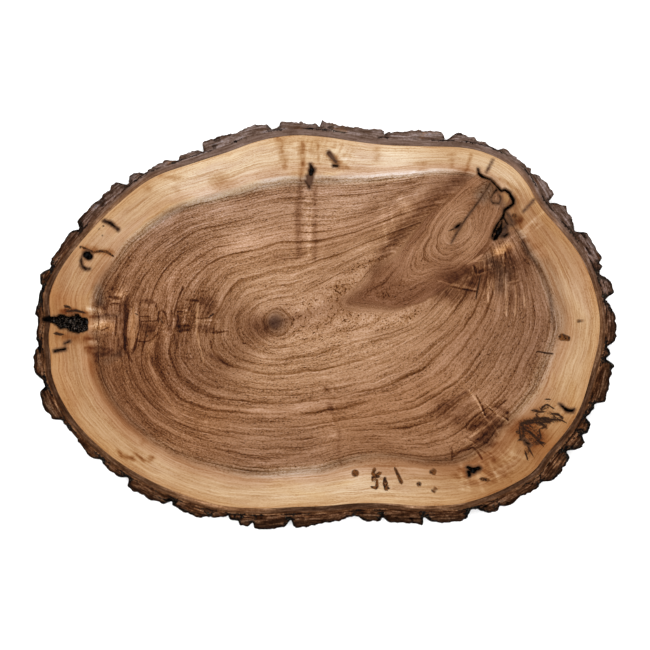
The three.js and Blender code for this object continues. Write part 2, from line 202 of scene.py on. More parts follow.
# Stains: how strong each is, how soft its edge is, and its path. Streaks run across the rings from knots
# and rays.
STAINS = (
    (0.38, 3, ((-23, 160, 1.5), (-27, 115, 3), (-26, 69, 2.5))),
    (0.3, 2, ((-10, 138, 2), (-10, 65, 1.5))), (0.3, 1.5, ((-52, 69, 1), (-40, 66, 1.3), (-26, 67, 1))),
    (0.35, 2, ((-22, 181, 2.5), (-22, 160, 2))), (0.25, 1.5, ((-7, 181, 1), (-7, 164, 1))),
    (0.35, 2.5, ((-46, 187, 2.5), (-42, 168, 3), (-40, 158, 2))), (0.3, 3, ((-177, 135.5, 3.5),)),
    (0.15, 5, ((-110, 143, 6), (-102, 143, 5))), (0.2, 2, ((-150, 145, 1), (-147, 131, 1))),
    (0.2, 2, ((-168, 150, 1.5), (-142, 146, 2))), (0.2, 2.5, ((52, 176, 2.5), (52, 164, 2))),
    (0.3, 1.5, ((92.5, 164, 1.2), (92.5, 150, 1.2))), (0.3, 1.5, ((99, 164, 1.2), (98, 146, 1.2))),
    (0.3, 1.5, ((127, 172, 1.5), (127, 158, 1.2))),
    (0.3, 1.5, ((146, 170, 1.5), (143, 160, 1.5), (141, 152, 1))), (0.4, 4, ((66, 86, 3), (80, 91, 3))),
    (0.3, 6, ((60, 72, 4), (85, 94, 6), (105, 118, 7), (140, 148, 3))),
    (0.5, 8, ((165, 66, 5), (178, 52, 8), (175, 38, 6))), (0.3, 4, ((140, 57, 6), (152, 50, 5))),
    (0.6, 3, ((123, 46, 1.5), (130, 50, 3), (133, 46, 2))), (0.55, 2.5, ((141, 55.5, 2), (145, 53, 2))),
    (0.55, 3, ((144, 43, 3), (150, 41, 3))), (0.45, 2.5, ((159, 48, 2.2), (160, 38, 2.2))),
    (0.5, 1.5, ((168, 54, 1.2), (169.5, 48, 1.2))), (0.5, 3, ((184, 74, 3), (186, 66, 3))),
    (0.5, 2, ((197, 84, 1.4), (199, 76, 1.8), (201, 71, 1.4))), (0.3, 5, ((190, 58, 7), (200, 54, 5))),
    (0.5, 2.5, ((121, 32, 2.5), (126, 28, 2))), (0.45, 1.5, ((125, 19, 0.9), (133, 28, 1.3))),
    (0.3, 1.5, ((129, 11, 0.8), (136, 22, 0.8))),
    (0.85, 1.5, ((-198, 28, 1.6), (-199.1, 21, 2.2), (-199.1, 12.4, 1.8), (-200.3, 5.6, 0.8))),
    (0.6, 2, ((-206, -14.5, 1), (-205.4, -30.6, 1.5))),
    (0.8, 1.5, (
        (-234.5, 8.6, 1.2), (-228.5, 8.4, 1.4), (-222, 9, 0.8), (-218.5, 10.6, 1.2), (-213, 9.6, 0.4),
        (-207.5, 8.5, 0.5),
    )),
    (0.6, 1.5, ((-240, -13.5, 0.9), (-226, -14, 1.0), (-227, -17, 0.6))),
    (0.6, 1.5, ((-240, -23, 1.2), (-226, -22.6, 1.2), (-213, -25, 1.2))),
    (0.7, 1.8, ((-229.5, -29, 2.2), (-221, -29.5, 1.3), (-214, -26.5, 0.8))),
    (0.55, 2.5, ((-228, -31, 2), (-228.5, -36, 1.6))), (0.7, 1.5, ((-219.8, 16.7, 1.8),)),
    (0.6, 1.5, ((-224, 31, 0.9), (-225, 21, 1.5))), (0.6, 1.5, ((-218, 23.4, 1.2), (-217.6, 20, 1.1))),
    (0.6, 1.5, ((-212.3, 36, 1.0),)), (0.35, 1.5, ((-180, -3, 4.5), (-174, -3, 4.5))),
    (0.6, 1.8, ((-178.5, 25, 1.0), (-173.3, 23.5, 1.5))),
    (0.5, 1.8, ((-173, -32, 1.2), (-173, -39, 1.6))),
    (0.6, 1.5, ((-153.8, 14, 0.5), (-153.8, 7.9, 0.8), (-154.3, -7, 1.0))),
    (0.75, 2, ((-147.5, 8, 1.8), (-146.8, -1, 2.2), (-145, -6, 1.8))),
    (0.45, 5, ((-122, 24, 4), (-115, 22, 5), (-117, 13, 4))), (0.5, 2, ((-121.4, 23.4, 1.5),)),
    (0.5, 1.5, ((-119, -1, 1.1), (-118, -10, 1.1))),
    (0.55, 1.5, ((-150, -12.5, 1.2), (-149.5, -18.5, 1.2))), (0.5, 1.5, ((-139.4, -16, 1.0),)),
    (0.4, 1.5, ((-140, -34, 0.8), (-131, -33, 1.1))),
    (0.65, 1.5, ((-115.6, -29, 1.2), (-112.2, -31.2, 1.6), (-104.7, -36.3, 1.3), (-96, -42, 0.8))),
    (0.35, 3, ((1.7, -64, 3),)), (0.45, 3, ((4.6, -80, 2.5), (6, -86, 2))),
    (0.25, 2, ((14, -105, 1.5), (13, -125, 1.5), (16, -140, 1.2))),
    (0.7, 1.8, ((110, -87, 1.0), (120, -80.5, 1.4), (131.5, -73.6, 1.4), (142, -66.7, 1.0))),
    (0.3, 2, ((143, -70.7, 0.9), (144.7, -78.8, 0.9))), (0.5, 3, ((131, -96, 2.4), (138, -93, 2))),
    (0.7, 2.5, ((161, -91, 2.4), (165, -92, 2.4))),
    (0.65, 2.5, ((146, -103, 2), (153, -101, 3), (160, -98, 2.4))),
    (0.65, 2, ((169, -97, 2), (171, -100, 1.6))), (0.5, 2, ((175, -101, 2), (178, -99, 1.6))),
    (0.5, 2.5, ((172, -82, 2.2), (178, -85, 2.2), (183, -88, 1.8))),
    (0.65, 2, ((150, -113, 1.6), (156, -115, 2), (159, -115, 1.2))),
    (0.5, 1.8, ((161, -117, 1.2), (168, -121, 1.6), (172, -118, 1.2))),
    (0.6, 1.4, ((141, -112.6, 0.8), (148.7, -116.7, 0.8), (156.7, -125.3, 1.2), (164.8, -129.3, 1.2))),
    (0.5, 1.5, ((126, -124, 1.2),)), (0.5, 1.5, ((137.8, -118.4, 1.2),)),
    (0.4, 1.5, ((167, -131.6, 0.8), (170, -135.6, 0.8))),
    (0.35, 1.5, ((208, 100.4, 0.8), (205, 97, 0.6))),
    (0.35, 1.5, ((212.3, 101, 0.8), (207.9, 95, 0.7), (201.6, 90.2, 0.5))),
    (0.35, 2, ((194, 101, 2), (196.5, 97, 1.6))),
    (0.25, 4, ((192, 131, 3), (193, 124, 3), (190, 117, 3))), (0.5, 2, ((-262, 14, 2), (-250, 15, 1.5))),
    (0.5, 8, ((122, 50, 6), (146, 44, 8), (165, 55, 8), (178, 58, 8))),
    (0.35, 8, ((186, 60, 7), (193, 42, 8), (187, 24, 6))),
    (0.45, 7, ((48, 54, 5), (75, 95, 6), (105, 124, 7), (140, 151, 4))),
    (0.15, 7, ((150, 118, 7), (165, 140, 7))), (0.6, 8, ((168, -98, 8), (160, -112, 7))),
    (0.3, 9, ((190, -100, 8), (206, -104, 8))), (0.3, 8, ((216, -110, 8), (208, -124, 5))),
    (0.5, 4, ((-204, 22, 2.5), (-201, 0, 3), (-199, -24, 2.5))),
    (0.45, 3, ((-228, 21, 3.5), (-222, 18, 3))), (0.4, 3, ((-238, -26, 2), (-206, -30, 2.5))),
    (0.3, 4, ((-186, 0, 5), (-174, -6, 4))), (0.4, 3, ((-127, -2, 2), (-112, -5, 2.5))),
    (0.35, 2, ((-188, 25, 1.5), (-170, 22, 1.5))),
    (0.35, 2.5, ((9, 167, 3.5), (15, 160, 3.5), (24, 157, 1))),
    (0.5, 1.5, (
        (-206, -127, 1.2), (-203, -131, 1.6), (-193.6, -133.7, 1.6), (-190.7, -128, 1.2),
        (-180, -136.6, 1.6), (-172.6, -132, 1.2),
    )),
    (0.25, 2, ((-184, -118, 1), (-181, -114.6, 1.2))),
    (0.25, 2, ((174.7, 146, 1.5), (184, 141, 1.5), (192, 134.4, 1.5))),
    (0.5, 10, ((-70, 0, 5), (-59, -6, 5))), (0.35, 8, ((168, 62, 8), (198, 66, 7))),
    (0.35, 3, ((-240, 76, 3), (-214, 72, 3))), (0.4, 4, ((-262, 12, 3), (-240, 12, 3))),
    (0.55, 2, ((184, 101, 2), (196, 105, 2))),
    (0.6, 2, (
        (199, 85, 1.4), (204.5, 69.4, 1.6), (216, 54, 1.5), (223.5, 36, 1.3), (226.5, 15.5, 1.2),
        (229, -2, 0.8),
    )),
    (0.5, 8, ((116, 32, 6), (130, 34, 8), (144, 34, 6))), (0.25, 5, ((182, 100, 4), (192, 106, 5))),
    (0.4, 14, ((118, -84, 10), (140, -92, 10))), (0.3, 5, ((-266, -10, 3), (-240, -14, 4))),
    (0.1, 6, ((-104, 144, 7), (-92, 141, 5))),
)

# Pale streaks, in the same form.
PALES = (
    (0.5, 2, ((-16, 138, 2), (-16, 70, 1.5))), (0.5, 1.5, ((56, 126, 1.2), (62, 78, 1.4))),
    (0.4, 1.5, ((65, 118, 1.2), (69, 95, 1.2))), (0.4, 4, ((75, 126, 4), (84, 114, 4))),
    (0.4, 1.5, ((92, 160, 1), (92, 126, 1))), (0.4, 1.5, ((98, 150, 1), (98, 126, 1))),
    (0.6, 1.5, (
        (220, 114, 0.6), (211, 107.2, 0.9), (199.2, 96.4, 0.9), (188.6, 88.8, 0.8), (180, 82.5, 0.6),
    )),
    (0.5, 1.5, ((217.6, 101, 0.4), (205.6, 92.8, 0.7), (196, 85.6, 0.7), (189, 80.5, 0.5))),
    (0.35, 3, ((214, 104, 3), (200, 93, 3))),
    (0.7, 2, ((182, 81, 2), (172, 75, 2.5), (160, 69, 1.5), (142, 62, 1))),
    (0.9, 2, ((172, 72, 1.5), (179, 74, 1.8), (181, 81, 1.4))),
    (0.4, 1.5, ((200.4, 88.3, 0.6), (202.7, 78.5, 0.6), (206, 71.6, 0.6), (210, 67, 0.6))),
    (0.8, 1.5, ((-229, -1, 3.4), (-222, 1.5, 4), (-216, 2.5, 3))),
    (0.45, 4, ((-236, -2, 4), (-216, -4, 6))), (0.6, 1.5, ((-236, -17, 1.8), (-228, -17.5, 1.8))),
    (0.6, 1.5, ((-238, 15.4, 1.8), (-222, 14.6, 1.6))),
    (0.6, 1.5, ((-168, -6, 0.8), (-170, -12, 1.4), (-174, -20, 2.4), (-177, -25, 2.2), (-176, -32, 1.0))),
    (0.45, 2, ((-163, 0, 1.2), (-160, -8, 2), (-158, -18, 2.2), (-156, -30, 1.6))),
    (0.5, 1.5, ((-151.5, 5.5, 0.8), (-152, -3.6, 0.9), (-153, -30, 0.6))),
    (0.35, 1.5, ((-127, 4.5, 0.9), (-110, 5, 0.7))), (0.5, 1.5, ((-140, 14, 2.5), (-138, 10, 2.5))),
    (0.7, 1.5, ((169.4, -113.8, 1.2),)), (0.5, 1.5, ((173.4, -125.3, 0.9), (186, -139.6, 0.9))),
    (0.6, 10, ((150, 84, 6), (140, 66, 6))), (0.4, 8, ((80, 46, 5), (100, 50, 5))),
    (0.2, 8, ((15, 116, 8), (55, 140, 10))), (0.3, 12, ((-24, 20, 10), (30, 8, 8), (80, 2, 8))),
    (0.25, 12, ((-34, -14, 8), (0, -12, 8), (40, -8, 6))), (0.5, 4, ((188, -133, 5),)),
    (0.5, 2, ((155, -136, 1.6), (159, -140, 1.2))), (0.4, 3, ((-204, 38, 5), (-200, 28, 4))),
    (0.45, 1.5, ((136, -138, 1), (138, -165, 1.5))), (0.45, 1.5, ((141, -152, 1), (144, -166, 1.2))),
    (0.45, 1.5, ((152, -150, 1), (158, -166, 1.2))), (0.6, 1.5, ((164, -136, 1), (174, -156, 1.4))),
    (0.35, 1.5, ((174, -130, 1), (184, -150, 1.2))),
    (0.5, 2.5, ((-206, -36, 2), (-196, -60, 2), (-180, -84, 1.5))),
    (0.5, 2, ((-176, -36, 1.5), (-166, -62, 1.5), (-150, -84, 1))),
)

# Fine dark stains and fine pale lines, as paths alone, which the material draws all equally strong.
FINE_STAINS = (
    ((149.5, 58, 0.8), (151, 53, 1.0), (151.5, 51, 0.6)), ((155, 53.2, 1.0), (158.5, 55, 1.0)),
    ((180.3, 72, 0.7), (180, 62, 0.8), (180.5, 50, 0.4)), ((200, 66, 0.7), (203.5, 61.5, 0.7)),
    ((127, 38.5, 0.6), (136, 36.4, 0.6), (151, 33.5, 0.6)),
    ((-200.3, 3.3, 0.4), (-200.8, -10.5, 0.4), (-200.3, -23, 0.8), (-193.4, -36.4, 0.8)),
    ((-208.3, 7.9, 0.5), (-208.9, -3.6, 0.8), (-209.5, -9.4, 0.5)),
    ((-185.3, 5, 0.3), (-184.8, -1.3, 0.4), (-187.6, -11.7, 0.4), (-190, -22, 1.0), (-192, -27, 0.6)),
    ((-215, 28.2, 0.8), (-205, 26.8, 1.0)), ((-212, 21.6, 0.6), (-207, 21.4, 0.6)),
    ((-223.8, -5.6, 0.4), (-217.5, -2.8, 0.5)), ((-185, 8.7, 0.4), (-176, 8.2, 0.5)),
    ((-183.5, 3.8, 0.4), (-168.5, 4.2, 0.4)), ((-168.7, 20, 0.6), (-168.3, 15.5, 0.6)),
    ((-168.7, -9.4, 0.5), (-172.7, -14.5, 0.5), (-179.6, -16.8, 0.5), (-189, -16.3, 0.4)),
    ((-165.8, 13, 0.4), (-163, 14.7, 0.6), (-160, 12.4, 0.7), (-158.4, 6.7, 0.5), (-157.5, 1.5, 0.5)),
    ((-166.4, 12.4, 0.3), (-166.4, 3.3, 0.3)), ((-142, 37, 0.8), (-146, 27.4, 0.7), (-151.2, 10, 0.7)),
    ((-146, -1.3, 0.9), (-136, -1, 0.9)), ((-146, -5.6, 0.9), (-137, -5, 0.8)),
    ((-147, 13.5, 0.4), (-142, 13.3, 0.5)), ((-127, 6.5, 0.4), (-115, 7.2, 0.4)),
    ((-138, 24.8, 0.6), (-127, 24.4, 0.7)), ((-114.2, -16.4, 0.6), (-113, -22, 0.6)),
    ((-113, -7.8, 0.6), (-108.5, -7.4, 0.8), (-97, -6, 0.4)),
    ((151.6, -71.3, 0.5), (157.3, -81.6, 0.7), (160.2, -90.3, 0.5)), ((182.5, -88, 1.2),),
    ((148.7, -122.4, 0.6), (152.7, -127, 0.7), (156.7, -133.3, 0.6)),
    ((127, -127, 0.6), (127, -134, 0.6)), ((129, -131, 0.6), (136, -126, 0.6), (148, -122.5, 0.6)),
    ((165.4, -84, 0.4), (170, -88.5, 0.7)), ((179, -91.4, 0.5), (183, -94.9, 0.6)),
    ((180.8, -75.3, 0.5), (175, -80, 0.6)),
    ((-196.5, 14, 0.5), (-198.5, 2, 0.6), (-199, -10, 0.6), (-197.5, -20, 0.5)),
)
FINE_PALES = (
    ((143, 61.3, 0.6), (151.6, 66.5, 0.6), (157.3, 70.2, 0.4)),
    ((141.8, 46.4, 0.4), (152, 50.4, 0.7), (160.2, 52.7, 0.7), (166, 54.4, 0.4)),
    ((150.4, 63.6, 0.4), (159, 64.7, 0.6)), ((147.6, 57.8, 0.6), (150, 51, 0.6)),
    ((159.6, 63, 0.6), (160.2, 56, 0.8)), ((160.2, 57.9, 0.6), (166, 60.7, 0.7)),
    ((160.2, 65.3, 0.3), (170, 70.5, 0.5), (177.4, 74, 1.4)),
    (
        (178.8, 68, 0.8), (178.6, 55.6, 0.8), (178.6, 48.7, 0.9), (180.8, 38.3, 1.2), (182, 26.9, 0.8),
        (180.8, 10.2, 0.8),
    ),
    ((169.4, 55.6, 0.4), (168.2, 45.2, 0.5), (168.3, 38, 0.8), (169.4, 32.6, 0.4)),
    ((163, 45.2, 0.6), (162.5, 32.6, 0.6), (163.6, 21, 0.6)),
    ((190.6, 39.5, 0.6), (191.2, 26.9, 0.7), (190, 10.2, 0.7)), ((199, 29.7, 0.6), (199.8, 18.2, 0.6)),
    ((183, 42.4, 0.6), (193.5, 44.6, 0.6)),
    ((114, 44, 0.5), (120, 42.4, 0.6), (127.5, 39.5, 0.6), (135, 34.9, 0.6)),
    ((127, 41.8, 0.5), (137.2, 37.8, 0.7), (152, 35.5, 0.5)), ((135.5, 35, 0.5), (141, 42.4, 0.4)),
    (
        (-191.6, 17, 0.6), (-191.6, 7.9, 3.6), (-192.5, -1.3, 5.6), (-193.4, -10.5, 5),
        (-194.5, -18.6, 3.2), (-195, -24.9, 0.6),
    ),
    ((-208, 30.5, 1.4), (-205, 29.5, 1.6)), ((-212, 23.6, 0.6), (-206, 23.6, 0.7)),
    ((-127, 21, 0.8), (-128.2, 8, 0.8), (-128.3, -8, 0.7), (-124.8, -23, 0.5), (-121.4, -36, 0.5)),
    ((144.7, -66, 0.6), (152, -76, 0.6), (160.2, -92.6, 0.5), (163.6, -97, 0.5)),
    ((147, -111, 0.6), (155.6, -104.6, 0.7), (166, -98.9, 0.5)),
    ((166.5, -96.6, 0.4), (169.4, -101.7, 0.6), (172.8, -107.5, 0.6)),
    ((141.8, -113.8, 0.5), (151, -120, 0.5), (160.2, -126.4, 0.5), (166.5, -131, 0.5)),
    ((162, -79.4, 0.4), (171.7, -89.7, 0.5), (180.3, -94.9, 0.5)),
)

# Warm orange and cool purple-grey patches, in the form of the stains.
WARMS = (
    (0.7, 12, ((-272, 30, 8), (-258, 22, 10))),
    (0.45, 10, ((-266, -22, 8), (-262, -50, 8), (-252, -75, 8))),
    (0.6, 10, ((205, -110, 8), (222, -118, 8))), (0.8, 5, ((184, 78, 4), (172, 72, 4))),
    (0.7, 3, ((180, 96, 2), (190, 98, 2))), (0.4, 8, ((240, -80, 8),)),
    (0.3, 12, ((262, 60, 6), (272, 20, 6))), (0.5, 8, ((146, -146, 8), (156, -150, 8))),
    (0.4, 6, ((-238, 70, 8),)), (0.35, 6, ((-213, 99, 8),)), (0.45, 4, ((-207, 34, 5), (-200, 30, 4))),
    (0.7, 4, ((-236, 0, 5), (-214, -2, 6))), (0.5, 2, ((-192, 8, 3), (-193, -12, 4))),
    (0.5, 14, ((-226, -40, 8), (-212, -70, 8), (-190, -96, 8))),
    (0.4, 5, ((-238, -36, 4), (-232, -44, 5))), (0.35, 14, ((118, -84, 10), (140, -92, 10))),
)
COOLS = (
    (0.7, 4, ((-227, 36, 5), (-225, 24, 5))), (0.5, 8, ((165, 66, 5), (178, 52, 8), (175, 38, 6))),
    (0.7, 3, ((198, 82, 1.5), (203.5, 72, 2), (215, 59, 2), (223, 42, 2), (226.5, 22.5, 2), (227, 3, 1))),
    (0.5, 5, ((172, 122, 4), (192, 118, 3), (186, 104, 3))), (0.35, 4, ((-222, 8, 2), (-206, 10, 2))),
    (0.9, 5, ((182, 100, 4), (192, 106, 5))), (0.35, 4, ((-218, -36, 4), (-205, -28, 3))),
    (1.0, 7, ((158, 130, 7), (166, 140, 5))),
    (0.5, 6, ((222, 62, 5), (233, 40, 5), (238, 15, 5), (238, -5, 3))),
)

# Where the grain is curled, so that ripples cross the rings, and where it is torn, in that form too.
CURLS = (
    (0.6, 10, ((-236, 10, 12), (-200, 0, 22), (-150, 4, 16), (-112, 8, 12))),
    (0.5, 10, ((-17, 130, 8), (-17, 72, 8))), (0.5, 12, ((120, 48, 8), (160, 52, 14), (190, 50, 12))),
    (0.6, 12, ((140, -92, 14), (165, -105, 16))),
    (1.0, 10, ((137, -148, 9), (165, -148, 12), (190, -132, 8))),
    (0.6, 8, ((60, 110, 10), (92, 145, 10))), (0.5, 8, ((196, 88, 8), (212, 76, 8))),
    (0.5, 8, ((5, -64, 8), (8, -110, 8))), (0.45, 8, ((-24, 178, 12), (20, 170, 10))),
)
TORN = (
    (1.0, 4, ((197, -98, 3), (214, -96, 5), (236, -95, 1.5))),
    (1.0, 5, ((197, -108, 5), (204, -116, 6), (216, -116, 3))), (0.9, 3, ((208, -86, 2), (222, -82, 2))),
    (0.8, 3, ((202, -126, 3),)), (0.75, 4, ((206, -103, 4), (213, -110, 4))),
    (0.8, 3, ((224, -88, 2), (236, -92, 2))),
)

# How dark the wood is towards each side, by zone from the pith outwards: a level, and spans of directions
# round the pith, each with its middle and half width in degrees, its softness and its amount.
INNER_TONE = (0.1, (
    (192, 44, 22, 1.05), (15, 7, 6, 0.8), (42, 12, 10, 0.1), (135, 12, 12, 0.2), (0, 8, 6, 0.2),
    (210, 8, 8, 0.15),
))
OUTER_TONE = (0.34, (
    (192, 24, 22, 1.2), (17, 14, 12, 0.12), (85, 37, 14, -0.66), (130, 12, 10, -0.2), (322, 35, 15, 0.1),
    (225, 14, 10, 0.2), (357, 8, 6, 0.25), (212, 10, 8, 0.2), (245, 12, 8, 0.32), (178, 8, 6, -0.2),
    (315, 10, 8, 0.2),
))
EDGE_TONE = (0.4, (
    (84, 42, 10, -0.8), (52, 12, 6, -0.65), (90, 6, 5, -0.3), (145, 10, 8, -0.5), (135, 8, 6, 0.2),
    (203, 18, 10, 1.35), (166, 6, 5, 0.7), (23, 9, 8, 0.4), (325, 12, 10, 0.85), (277, 15, 10, -0.8),
    (345, 7, 5, -0.5), (224, 12, 8, 0.25), (240, 8, 6, 0.25), (1, 7, 6, -0.3),
))

# Sides where the heartwood is golden, and a level and sides for the grey along its edge, as such spans.
GOLDEN_SIDE = (
    (220, 30, 15, 0.4), (275, 20, 12, 0.1), (320, 25, 12, 0.3), (172, 22, 12, 0.25),
)
GREY_EDGE = (0.07, ((105, 40, 15, 0.4), (280, 22, 12, 0.27)))

# How dark the sapwood is towards each side, in the form of the other tones.
SAP_TONE = (0.25, (
    (352, 41, 12, 0.62), (17, 7, 5, 0.2), (6, 5, 4, -0.15), (195, 60, 20, 0.5), (60, 10, 8, -0.38),
    (330, 11, 6, 0.6), (3, 9, 6, -0.25), (346, 6, 5, -0.15), (315, 5, 5, -0.15), (30, 6, 5, -0.3),
    (45, 5, 5, 0.25), (110, 18, 8, -0.3), (150, 8, 8, -0.3), (278, 14, 8, 0.15), (180, 6, 5, 0.4),
    (182, 22, 8, 0.14), (217, 6, 5, 0.15), (233, 5, 5, -0.3),
))


def stretches(x, y, path):
    """For each stretch of a path of x, y and half width: every point's distance from it, the half width
    there, and the side of it that the point is on. The last stop is a stretch of no length."""
    stops = np.array(path, float)
    stops = np.vstack([stops, stops[-1]])
    for (ax, ay, a_half), (bx, by, b_half) in zip(stops, stops[1:]):
        dx, dy = bx - ax, by - ay
        along = np.clip(((x - ax) * dx + (y - ay) * dy) / (dx * dx + dy * dy + 1e-9), 0, 1)
        away = np.hypot(x - ax - along * dx, y - ay - along * dy)
        yield away, a_half + along * (b_half - a_half), np.where(dx * (y - ay) >= dy * (x - ax), 1, -1)


def reach(x, y, path):
    """Distance from each point to a path, less the path's half width there."""
    nearest = np.full(x.shape, 1e3)
    for away, half, _ in stretches(x, y, path):
        nearest = np.minimum(nearest, away - half)
    return nearest


def thin_strokes(x, y, paths):
    """Place of each point across the nearest of some thin strokes, from -1 at one edge to 1 at the other and
    on beyond them, and its distance out of that stroke."""
    nearest = np.full(x.shape, 1e3)
    across = np.full(x.shape, 1e3)
    for path in paths:
        for away, half, side in stretches(x, y, path):
            closer = away - half < nearest - 1e-6
            nearest = np.where(closer, away - half, nearest)
            across = np.where(closer, side * away / half, across)
    return np.clip(across, -FAR, FAR), np.minimum(nearest, FAR)


def smooth(low, high, value):
    """Eased step: 0 at low, 1 at high, with level ends."""
    t = np.clip((value - low) / (high - low), 0, 1)
    return t * t * (3 - 2 * t)


def painted(x, y, strokes):
    """How strongly soft strokes cover each point: one less the product of what each leaves bare."""
    bare = np.ones(x.shape)
    for amount, soft, path in strokes:
        bare *= 1 - amount * smooth(soft, -soft, reach(x, y, path))
    return 1 - bare


def toned(turn, level, spans):
    """Tone at each direction: a level, and an amount for each span of directions, eased off at its ends."""
    tone = np.full(turn.shape, level)
    for middle, half, soft, amount in spans:
        away = np.abs((turn - middle + 180) % 360 - 180)
        tone += amount * smooth(half + soft, half - soft, away)
    return tone


def lattice(x, y, z, seed):
    """Repeatable number in -1 to 1 at whole-number places, from the fraction of a large sine."""
    mixed = np.sin(x * 127.1 + y * 311.7 + z * 74.7 + seed * 53.31) * 43758.5453
    return 2 * (mixed - np.floor(mixed)) - 1


def cloud(x, y, z=0.0, seed=0, octaves=1):
    """Smooth noise about 0: the numbers at the corners of each unit cell, blended by eased shares, summed
    over octaves that halve in size and strength."""
    total, strength = 0.0, 1.0
    for octave in range(octaves):
        x, y, z = np.broadcast_arrays(np.asarray(x, float), y, z)
        corner = [np.floor(value) for value in (x, y, z)]
        share = [(value - low) ** 2 * (3 - 2 * (value - low)) for value, low in zip((x, y, z), corner)]
        part = 0.0
        for step in range(8):
            up = (step & 1, step >> 1 & 1, step >> 2)
            weight = np.prod([s if u else 1 - s for s, u in zip(share, up)], axis=0)
            part = part + weight * lattice(*[low + u for low, u in zip(corner, up)], seed + octave)
        total = total + strength * part
        x, y, z, strength = x * 2.03, y * 2.03, z * 2.03, strength / 2
    return total


def marked_rings(angles):
    """Shares of the marked rings (rows) at each angle (columns), run round the pith and smoothed over a few
    degrees, between the pith at 0 and the edge at 1."""
    fine = np.arange(0, 360, 0.5)
    window = np.hanning(17)
    core = CORE_RADIUS * (1 + 0.35 * np.cos(angles - 0.2)) / wood_edge(angles, PITH)
    rows = [np.zeros(len(angles)), core]
    for shares in RING_SHARES:
        run = np.interp(fine, RING_ANGLES, shares, period=360)
        soft = np.convolve(np.concatenate([run[-8:], run, run[:8]]), window / window.sum(), "valid")
        rows.append(np.interp(np.degrees(angles), fine, soft, period=360))
    rows.append(np.ones(len(angles)))
    return np.array(rows)


def ring_number(angles, shares):
    """Ring number at each share of the way out (rows) and angle (columns): 0 at the pith and 1 at the edge,
    in proportion between the marked rings."""
    rings = marked_rings(angles)
    number = np.zeros((len(shares), len(angles)))
    for low, high, near, far in zip(RING_LEVELS, RING_LEVELS[1:], rings, rings[1:]):
        number += (high - low) * np.clip((shares[:, None] - near) / (far - near), 0, 1)
    return number


def wood_edge(angles, middle):
    """Distance from a middle to the wood's edge at each angle, read off the lower rim of the solid."""
    rim = np.array([v.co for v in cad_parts["wood"].data.vertices])
    rim = rim[rim[:, 2] < 1e-5] / UNIT
    dx, dy = rim[:, 0] - middle[0], rim[:, 1] - middle[1]
    return np.interp(angles, np.arctan2(dy, dx), np.hypot(dx, dy), period=2 * math.pi)


def face_angles(count):
    """Angles of the face's columns: even steps along the edge, up to three and a half times closer in the
    spans that hold the openings."""
    fine = np.linspace(0, 2 * math.pi, 3601)
    degrees = np.degrees(fine)
    close = np.zeros(len(fine))
    for start, end in OPENING_SPANS:
        close = np.maximum(close, smooth(start - 4, start, degrees) * smooth(end + 4, end, degrees))
    density = wood_edge(fine, PITH) * (1 + 2.5 * close)
    run = np.concatenate([[0], np.cumsum((density[1:] + density[:-1]) / 2)])
    return np.interp(np.arange(count) / count, run / run[-1], fine)


def inside(x, y, outline):
    """True where a point is inside a closed outline, by counting the edges to its right."""
    hit = np.zeros(x.shape, bool)
    for (ax, ay), (bx, by) in zip(outline, outline[1:] + outline[:1]):
        crosses = (ay > y) != (by > y)
        hit ^= crosses & (x < (bx - ax) * (y - ay) / (by - ay + 1e-12) + ax)
    return hit


def knot_fields(x, y):
    """Signed distance out of the branch knot, and its ring number: 0 at its pith and 1 at its outline. The
    ring number is the root of squares of the share across the pith line and the share along it."""
    loop = [(px, py, 0.0) for px, py in KNOT_OUTLINE + KNOT_OUTLINE[:1]]
    out = reach(x, y, loop) * np.where(inside(x, y, KNOT_OUTLINE), -1, 1)
    nearest = np.full(x.shape, 1e3)
    across = np.zeros(x.shape)
    along = np.zeros(x.shape)
    run = -KNOT_PITH_AT
    for (ax, ay), (bx, by) in zip(KNOT_AXIS, KNOT_AXIS[1:]):
        length = math.hypot(bx - ax, by - ay)
        ux, uy = (bx - ax) / length, (by - ay) / length
        t = np.clip((x - ax) * ux + (y - ay) * uy, 0, length)
        gap = np.hypot(x - ax - t * ux, y - ay - t * uy)
        side = ux * (y - ay) - uy * (x - ax)
        closer = gap < nearest
        nearest = np.where(closer, gap, nearest)
        across = np.where(closer, np.sign(side) * gap, across)
        along = np.where(closer, run + t, along)
        run += length
    half_width = np.where(across > 0, *KNOT_HALF_WIDTHS)
    ring = np.hypot(across / half_width, np.interp(along, *KNOT_REACH) / KNOT_HALF_WIDTHS[0])
    return out, ring


def grid_faces(first, rows, columns):
    """Quads of a grid of rows that closes on itself round its columns, counted from a first vertex."""
    row, column = np.meshgrid(np.arange(rows - 1), np.arange(columns), indexing="ij")
    beside = (column + 1) % columns
    near, far = row * columns, (row + 1) * columns
    return np.stack([near + column, far + column, far + beside, near + beside], -1).reshape(-1, 4) + first


def build_mesh(name, points, quads, triangles):
    """Mesh object of an array of points with quads and triangles, shaded smooth between sharp arrises."""
    mesh = bpy.data.meshes.new(name)
    mesh.from_pydata(points.tolist(), [], quads.tolist() + triangles.tolist())
    mesh.polygons.foreach_set("use_smooth", np.ones(len(mesh.polygons), bool))
    mesh.set_sharp_from_angle(angle=math.radians(50))
    piece = bpy.data.objects.new(name, mesh)
    bpy.context.collection.objects.link(piece)
    return piece


def set_field(piece, name, values):
    """Stores one number for each vertex of a piece, for its material to read."""
    field = piece.data.attributes.new(name, "FLOAT", "POINT")
    field.data.foreach_set("value", np.asarray(values, np.float32).ravel())


